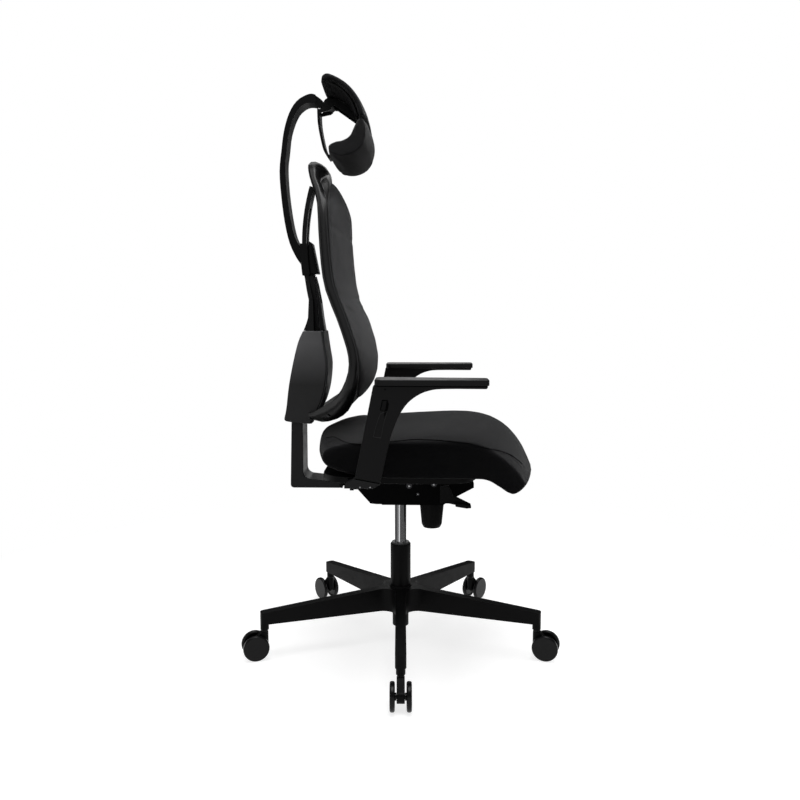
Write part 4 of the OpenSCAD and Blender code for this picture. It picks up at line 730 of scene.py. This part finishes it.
def seam_height(x):
    """Height of the seat's seam at x, on the line through its points."""
    if x <= SEAM_LINE[0][0]:
        return SEAM_LINE[0][1]
    for (x1, z1), (x2, z2) in zip(SEAM_LINE, SEAM_LINE[1:]):
        if x <= x2:
            return z1 + (z2 - z1) * (x - x1) / (x2 - x1)
    return SEAM_LINE[-1][1]


def under_seat(p):
    """How much a point belongs to the flat underside, which rests on the pan."""
    low = 1 - eased(p.z, seat_low.z + UNDER_LOW, seat_low.z + UNDER_HIGH)
    inner = 1 - eased(abs(p.y), SEAT_HALF - UNDER_INNER, SEAT_HALF - UNDER_OUTER)
    return low * inner * (1 - eased(p.x, *PAN_FRONT))


def seat_held(p):
    at_seam = abs(p.y) > SEAT_HALF - SEAM_REACH and abs(p.z - seam_height(p.x)) < SEAM_HELD
    return at_seam or under_seat(p) > REST_FULL


def seat_groove(p, normal):
    if abs(p.y) < SEAT_HALF - GROOVE_REACH:
        return 0.0
    return dip(p.z - seam_height(p.x), SEAM_WIDTH, SEAM_DEPTH)


seat = cushion("seat_cushion", "seat_upholstery", seat_cloth, 0.0065, seat_held, 0.005,
               proud=0.0015, groove=seat_groove, resting=under_seat, soften=3)

# %% [markdown]
# The side panels are cut from a blacker, tighter cloth than the top. The mesh's squares are coarser
# than a seam, so the change of cloth isn't left to whole faces: each point keeps its height over
# the seam as an attribute, and the material turns from one cloth to the other where that is zero.

# %% Two cloths on one cushion
SEAM_END_Y, SEAM_END_FADE = 0.10, 0.02
TOP_HEIGHT = 0.02
PANEL_EDGE = 0.002
PANEL_TINT = (0.55, 0.55, 0.57)
over_seam = seat.data.attributes.new("over_seam", "FLOAT", "POINT")
for v in seat.data.vertices:
    side = min(max((abs(v.co.y) - SEAM_END_Y) / SEAM_END_FADE, 0), 1)
    above = v.co.z - seam_height(v.co.x)
    over_seam.data[v.index].value = above * side + TOP_HEIGHT * (1 - side)


def two_cloths(name, top, panel_tint):
    """A copy of the top cloth whose colour darkens to the panel's below the seam."""
    made = top.copy()
    made.name = name
    n, links = made.node_tree.nodes, made.node_tree.links
    height, surface = n.new("ShaderNodeAttribute"), n["Principled BSDF"].inputs
    height.attribute_name = "over_seam"
    above = mapped(n, links, height.outputs["Fac"], -PANEL_EDGE, PANEL_EDGE)
    below = joined(n, links, "SUBTRACT", 1.0, above)
    tint = surface["Base Color"].links[0].from_socket
    links.new(mixed(n, links, below, tint, panel_tint, "MULTIPLY"), surface["Base Color"])
    return made


seat.data.materials[0] = two_cloths("seat cloths", seat_cloth, PANEL_TINT)
print("seam attribute on", len(seat.data.vertices), "points")

# %% [markdown]
# Along the seam runs a thin piping. It is a round bead swept along the line where the side of the
# cushion and the seam's height meet: a ray is shot at the cushion from the side at each step.

# %% Piping along the seat's seams
PIPING_START, PIPING_STEP, PIPING_POINTS = -0.165, 0.011, 41
PIPING_RADIUS, PIPING_LIFT = 0.0014, 0.0002
RAY_FROM = 0.6


def bead(name, points, radius, material, body, closed=False):
    """A round bead through points, as a mesh."""
    line = bpy.data.curves.new(name, "CURVE")
    line.dimensions = "3D"
    line.bevel_depth = radius
    line.bevel_resolution = 2
    line.resolution_u = 3
    line.use_fill_caps = True
    run = line.splines.new("NURBS")
    run.points.add(len(points) - 1)
    for place, p in zip(run.points, points):
        place.co = (*p, 1)
    run.use_endpoint_u = not closed
    run.use_cyclic_u = closed
    run.order_u = 4
    mesh = mesh_with_modifiers(in_scene(name + "_line", line))
    for face in mesh.polygons:
        face.use_smooth = True
    mesh.materials.clear()
    mesh.materials.append(material)
    piece = in_scene(name, mesh)
    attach(piece, body)


def on_side(tree, x, z, sign, lift):
    """The point of a cushion's side at x and z, lifted off it a little."""
    hit, normal, _, _ = tree.ray_cast(Vector((x, sign * RAY_FROM, z)), Vector((0, -sign, 0)))
    return None if hit is None else hit + normal * lift


bpy.context.view_layer.update()
seat_tree = BVHTree.FromObject(seat, bpy.context.evaluated_depsgraph_get())
for name, sign in (("left", 1), ("right", -1)):
    along = [PIPING_START + k * PIPING_STEP for k in range(PIPING_POINTS)]
    spots = [on_side(seat_tree, x, seam_height(x), sign, PIPING_LIFT) for x in along]
    spots = [p for p in spots if p is not None and abs(p.y) > SEAM_END_Y + SEAM_END_FADE]
    bead("seat_piping_" + name, spots, PIPING_RADIUS, side_cloth, "seat")
    print("piping", name, "has", len(spots), "points")

# %% [markdown]
# ### Back cushion
# The back cushion hangs in its tube. Two cross seams divide its front, one at the waist and one
# below the shoulders.

# %% Back
WAIST_SEAM = 0.847
SHOULDER_SEAM = (Vector((-0.137, 0, 0.999)), Vector((-0.102, 0, 0.978)))
shoulder_way = (SHOULDER_SEAM[1] - SHOULDER_SEAM[0]).normalized()
shoulder_normal = Vector((-shoulder_way.z, 0, shoulder_way.x))
BACK_HELD, BACK_WIDTH, BACK_DEPTH = 0.005, 0.0035, 0.0014
REAR_FULL, REAR_START = 0.045, 0.015
REAR_FACING = -0.4
FRONT_STEPS, FRONT_BAND = 40, 0.02
back_low, back_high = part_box("back_cushion")
BACK_TALL = back_high.z - back_low.z


def foremost(z):
    """The x of the foremost point of the solid near a height."""
    near = [v.co.x for v in nodes["back_cushion"].data.vertices if abs(v.co.z - z) < FRONT_BAND]
    return max(near) if near else back_high.x


FRONTS = [foremost(back_low.z + BACK_TALL * k / FRONT_STEPS) for k in range(FRONT_STEPS + 1)]


def back_front(z):
    """The x of the cushion's front face at a height, from a table made once."""
    t = min(max((z - back_low.z) / BACK_TALL, 0), 1) * FRONT_STEPS
    k = min(int(t), FRONT_STEPS - 1)
    return FRONTS[k] + (FRONTS[k + 1] - FRONTS[k]) * (t - k)


def seam_distances(p):
    """How far a point lies above the waist seam and off the shoulder seam."""
    return p.z - WAIST_SEAM, (Vector((p.x, 0, p.z)) - SHOULDER_SEAM[0]).dot(shoulder_normal)


def behind_back(p):
    """How much a point belongs to the cushion's rear, which rests on the shell."""
    front = back_front(p.z)
    return 1 - eased(p.x, front - REAR_FULL, front - REAR_START)


def back_held(p):
    return behind_back(p) > REST_FULL or min(abs(d) for d in seam_distances(p)) < BACK_HELD


def back_groove(p, normal):
    if normal.x < REAR_FACING:
        return 0.0
    return max(dip(d, BACK_WIDTH, BACK_DEPTH) for d in seam_distances(p))


back = cushion("back_cushion", "back_upholstery", back_cloth, 0.006, back_held, 0.004,
               groove=back_groove, resting=behind_back)

# %% [markdown]
# The cushion's top edge runs up under the arch. Its upper points are raised and drawn back with the
# tube, so that the upholstery meets the moulding.

# %% Raise the top edge
RAISE_START, RAISE_FULL = 1.045, 1.10
RAISE_UP, RAISE_BACK = 0.016, 0.010
for v in back.data.vertices:
    lift = eased(v.co.z, RAISE_START, RAISE_FULL)
    v.co.z += RAISE_UP * lift
    v.co.x -= RAISE_BACK * lift
print("top edge raised by", RAISE_UP)

# %% [markdown]
# ### Headrest
# The headrest has a thin pad in its curved shell and a full roll under it for the neck. Both covers
# are held at their ends.

# %% Headrest pads
END_HELD = 0.006
pad_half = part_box("headrest_pad")[1].y


def ends_held(p):
    return abs(p.y) > pad_half - END_HELD


cushion("headrest_pad", "headrest_pad_cover", head_cloth, 0.004, ends_held, 0.002,
        ripple=0.0003)
cushion("neck_roll", "neck_roll_cover", roll_cloth, 0.0045, ends_held, 0.003, ripple=0.0004)

# %% [markdown]
# ### Arm pads
# The pads are moulded foam with a tough skin. They are nearly flat slabs with rounded edges.

# %% Arm pads
for side in ("left", "right"):
    pad = rounded("arm_pad_" + side, foam_skin, 0.0018, 3)
    pad.name = "arm_pad_%s_skin" % side
print("arm pads made")

# %% [markdown]
# ## Rail of the spine
# Below the clamp a narrow rail runs up the front of the spine for the height adjustment. The solid
# has its shape already. What it lacks is the pair of thin lips along the rail's sides, which catch
# the light: they are drawn as fine beads a little off the rail's faces, in the shell's light grey
# finish, which paints a highlight along them.

# %% Lips on the rail
RAIL_LINES = {
    "front": [(-0.1812, 0.774), (-0.1865, 0.8045), (-0.1910, 0.842), (-0.1981, 0.879),
              (-0.2040, 0.899)],
    "rear": [(-0.1926, 0.774), (-0.1956, 0.8045), (-0.1978, 0.8415), (-0.2014, 0.878),
             (-0.2046, 0.899)],
}
RAIL_HALF, LIP_RADIUS = 0.0161, 0.0006
for name, line in RAIL_LINES.items():
    for side, sign in (("left", 1), ("right", -1)):
        points = [(x, sign * RAIL_HALF, z) for x, z in line]
        # The light grey finish paints a highlight on the lips.
        bead("rail_lip_%s_%s" % (name, side), points, LIP_RADIUS, gloss, "back")
print("rail lips drawn")

# %% [markdown]
# ## Wedge of the clamp
# In front of the spine the clamp has a dark wedge-shaped tongue, which guides it down the rail. It
# is an outline that is filled, given its width and bevelled.

# %% Tongue of the clamp
TONGUE = [(-0.2205, 0.9573), (-0.2150, 0.9828), (-0.2092, 0.9781), (-0.1951, 0.9069),
          (-0.2164, 0.9078)]
TONGUE_HALF, TONGUE_EDGE = 0.024, 0.0012


def slab(outline, start_y, thickness):
    """A bmesh of an outline of (x, z) points that is filled at start_y and given a thickness."""
    bm = bmesh.new()
    face = bm.faces.new([bm.verts.new((x, start_y, z)) for x, z in outline])
    grown = bmesh.ops.extrude_face_region(bm, geom=[face])["geom"]
    bmesh.ops.translate(bm, verts=[v for v in grown if isinstance(v, bmesh.types.BMVert)],
                        vec=(0, thickness, 0))
    bmesh.ops.recalc_face_normals(bm, faces=bm.faces)
    return bm


tongue = slab(TONGUE, -TONGUE_HALF, 2 * TONGUE_HALF)
bevel(tongue, tongue.edges[:], TONGUE_EDGE, 2)
piece_from(tongue, "clamp_tongue", nylon, frame_body["headrest_clamp"])
print("clamp tongue made")

# %% [markdown]
# ## Small trim
# Each arm's height slide shows on its outer face as the rim of a narrow slot with a hooked notch
# at its top, over which there is a small hole. The rim is a bead in the shell's lighter glossy
# finish, which paints a highlight along it. The notch and the hole are thin black plates on the
# face: painted shade, which stands in for the shade inside them.

# %% Slot, notch and hole on the arms
SLOT_RIM = [(-0.0337, 0.6073), (-0.0425, 0.583), (-0.0486, 0.5586), (-0.0324, 0.5566),
            (-0.0275, 0.585), (-0.0188, 0.6129)]
RIM_SHARES, RIM_RADIUS = (0.03, 0.5, 0.97), 0.0005
NOTCH = [(-0.027, 0.6347), (-0.0205, 0.6347), (-0.0159, 0.6281), (-0.0184, 0.615),
         (-0.0263, 0.5984), (-0.0248, 0.6264)]
PLATE_THICK = 0.0003
HOLE_X, HOLE_Z, HOLE_R, HOLE_SIDES = -0.0239, 0.6575, 0.0017, 20
hole = [(HOLE_X + HOLE_R * math.cos(k * math.tau / HOLE_SIDES),
         HOLE_Z + HOLE_R * math.sin(k * math.tau / HOLE_SIDES)) for k in range(HOLE_SIDES)]
for side, sign in (("left", 1), ("right", -1)):
    low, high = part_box("arm_sleeve_" + side)
    face_y = high.y if sign > 0 else low.y
    body = "arm_" + side
    rim = []
    for (x1, z1), (x2, z2) in zip(SLOT_RIM, SLOT_RIM[1:] + SLOT_RIM[:1]):
        rim += [(x1 + (x2 - x1) * t, face_y, z1 + (z2 - z1) * t) for t in RIM_SHARES]
    # The rim's lighter glossy finish paints a highlight along it.
    bead("arm_slot_rim_" + side, rim, RIM_RADIUS, gloss, body, closed=True)
    # The notch and the hole are black plates: painted shade.
    for name, outline in (("arm_notch_shade_", NOTCH), ("arm_hole_shade_", hole)):
        piece_from(slab(outline, face_y, sign * PLATE_THICK), name + side, painted_recess_shade, body)
print("arm slots made")

# %% [markdown]
# The screws of the mechanism have dark heads. On each head a small spot of bright steel is a
# painted glint, where the socket's rim catches the light.

# %% Painted glints on the screws
HEAD_SHARE, SPOT_SHARE, SPOT_FLAT = 0.6, 0.2, 0.35
SPOT_ROUND, SPOT_RINGS = 20, 10


def lumps(mesh):
    """The separate solids of a mesh, each as its lowest and highest corner."""
    bm = copy_of(mesh)
    left, found = set(bm.verts), []
    while left:
        group, waiting = [], [left.pop()]
        while waiting:
            v = waiting.pop()
            group.append(v.co)
            for other in (e.other_vert(v) for e in v.link_edges):
                if other in left:
                    left.discard(other)
                    waiting.append(other)
        found.append([Vector([pick(c[k] for c in group) for k in range(3)]) for pick in (min, max)])
    bm.free()
    return sorted(found, key=lambda lump: tuple(round(c, 4) for c in lump[0]))


for node in ("mech_screws", "arm_screws"):
    bm = bmesh.new()
    count = 0
    for low, high in lumps(nodes[node].data):
        size = high - low
        if min(size.x, size.z) < size.y * HEAD_SHARE:
            continue
        middle = (low + high) / 2
        spot = bmesh.ops.create_uvsphere(bm, u_segments=SPOT_ROUND, v_segments=SPOT_RINGS,
                                         radius=size.x * SPOT_SHARE)["verts"]
        bmesh.ops.scale(bm, verts=spot, vec=(1, SPOT_FLAT, 1))
        middle.y = high.y if low.y > 0 else low.y
        bmesh.ops.translate(bm, verts=spot, vec=middle)
        count += 1
    print(node, "spots:", count)
    if count:
        piece_from(bm, node + "_glints", glint_steel, frame_body[node])
    else:
        bm.free()

# %% [markdown]
# A slim ring closes the joint between the column's tube and the base. Its outline of radius and
# height is spun about the column's axis.

# %% Ring at the column's foot
RING_Z, RING_HALF, RING_FLAT_HALF = 0.136, 0.006, 0.004
RING_BITE, RING_EDGE, RING_OUT = -0.002, 0.002, 0.003
RING_STEPS, RING_MERGE = 64, 0.00001
tube_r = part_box("column_tube")[1].x
bm = bmesh.new()
ring = [bm.verts.new((tube_r + out, 0, RING_Z + up))
        for out, up in ((RING_BITE, -RING_HALF), (RING_EDGE, -RING_HALF),
                        (RING_OUT, -RING_FLAT_HALF), (RING_OUT, RING_FLAT_HALF),
                        (RING_EDGE, RING_HALF), (RING_BITE, RING_HALF))]
edges = [bm.edges.new((a, b)) for a, b in zip(ring, ring[1:] + ring[:1])]
bmesh.ops.spin(bm, geom=ring + edges, cent=(0, 0, 0), axis=(0, 0, 1), angle=math.tau,
               steps=RING_STEPS, use_merge=True)
bmesh.ops.remove_doubles(bm, verts=bm.verts, dist=RING_MERGE)
bmesh.ops.recalc_face_normals(bm, faces=bm.faces)
piece_from(bm, "column_ring", nylon, "base")
print("column ring at", RING_Z, "on a tube of radius", round(tube_r, 4))
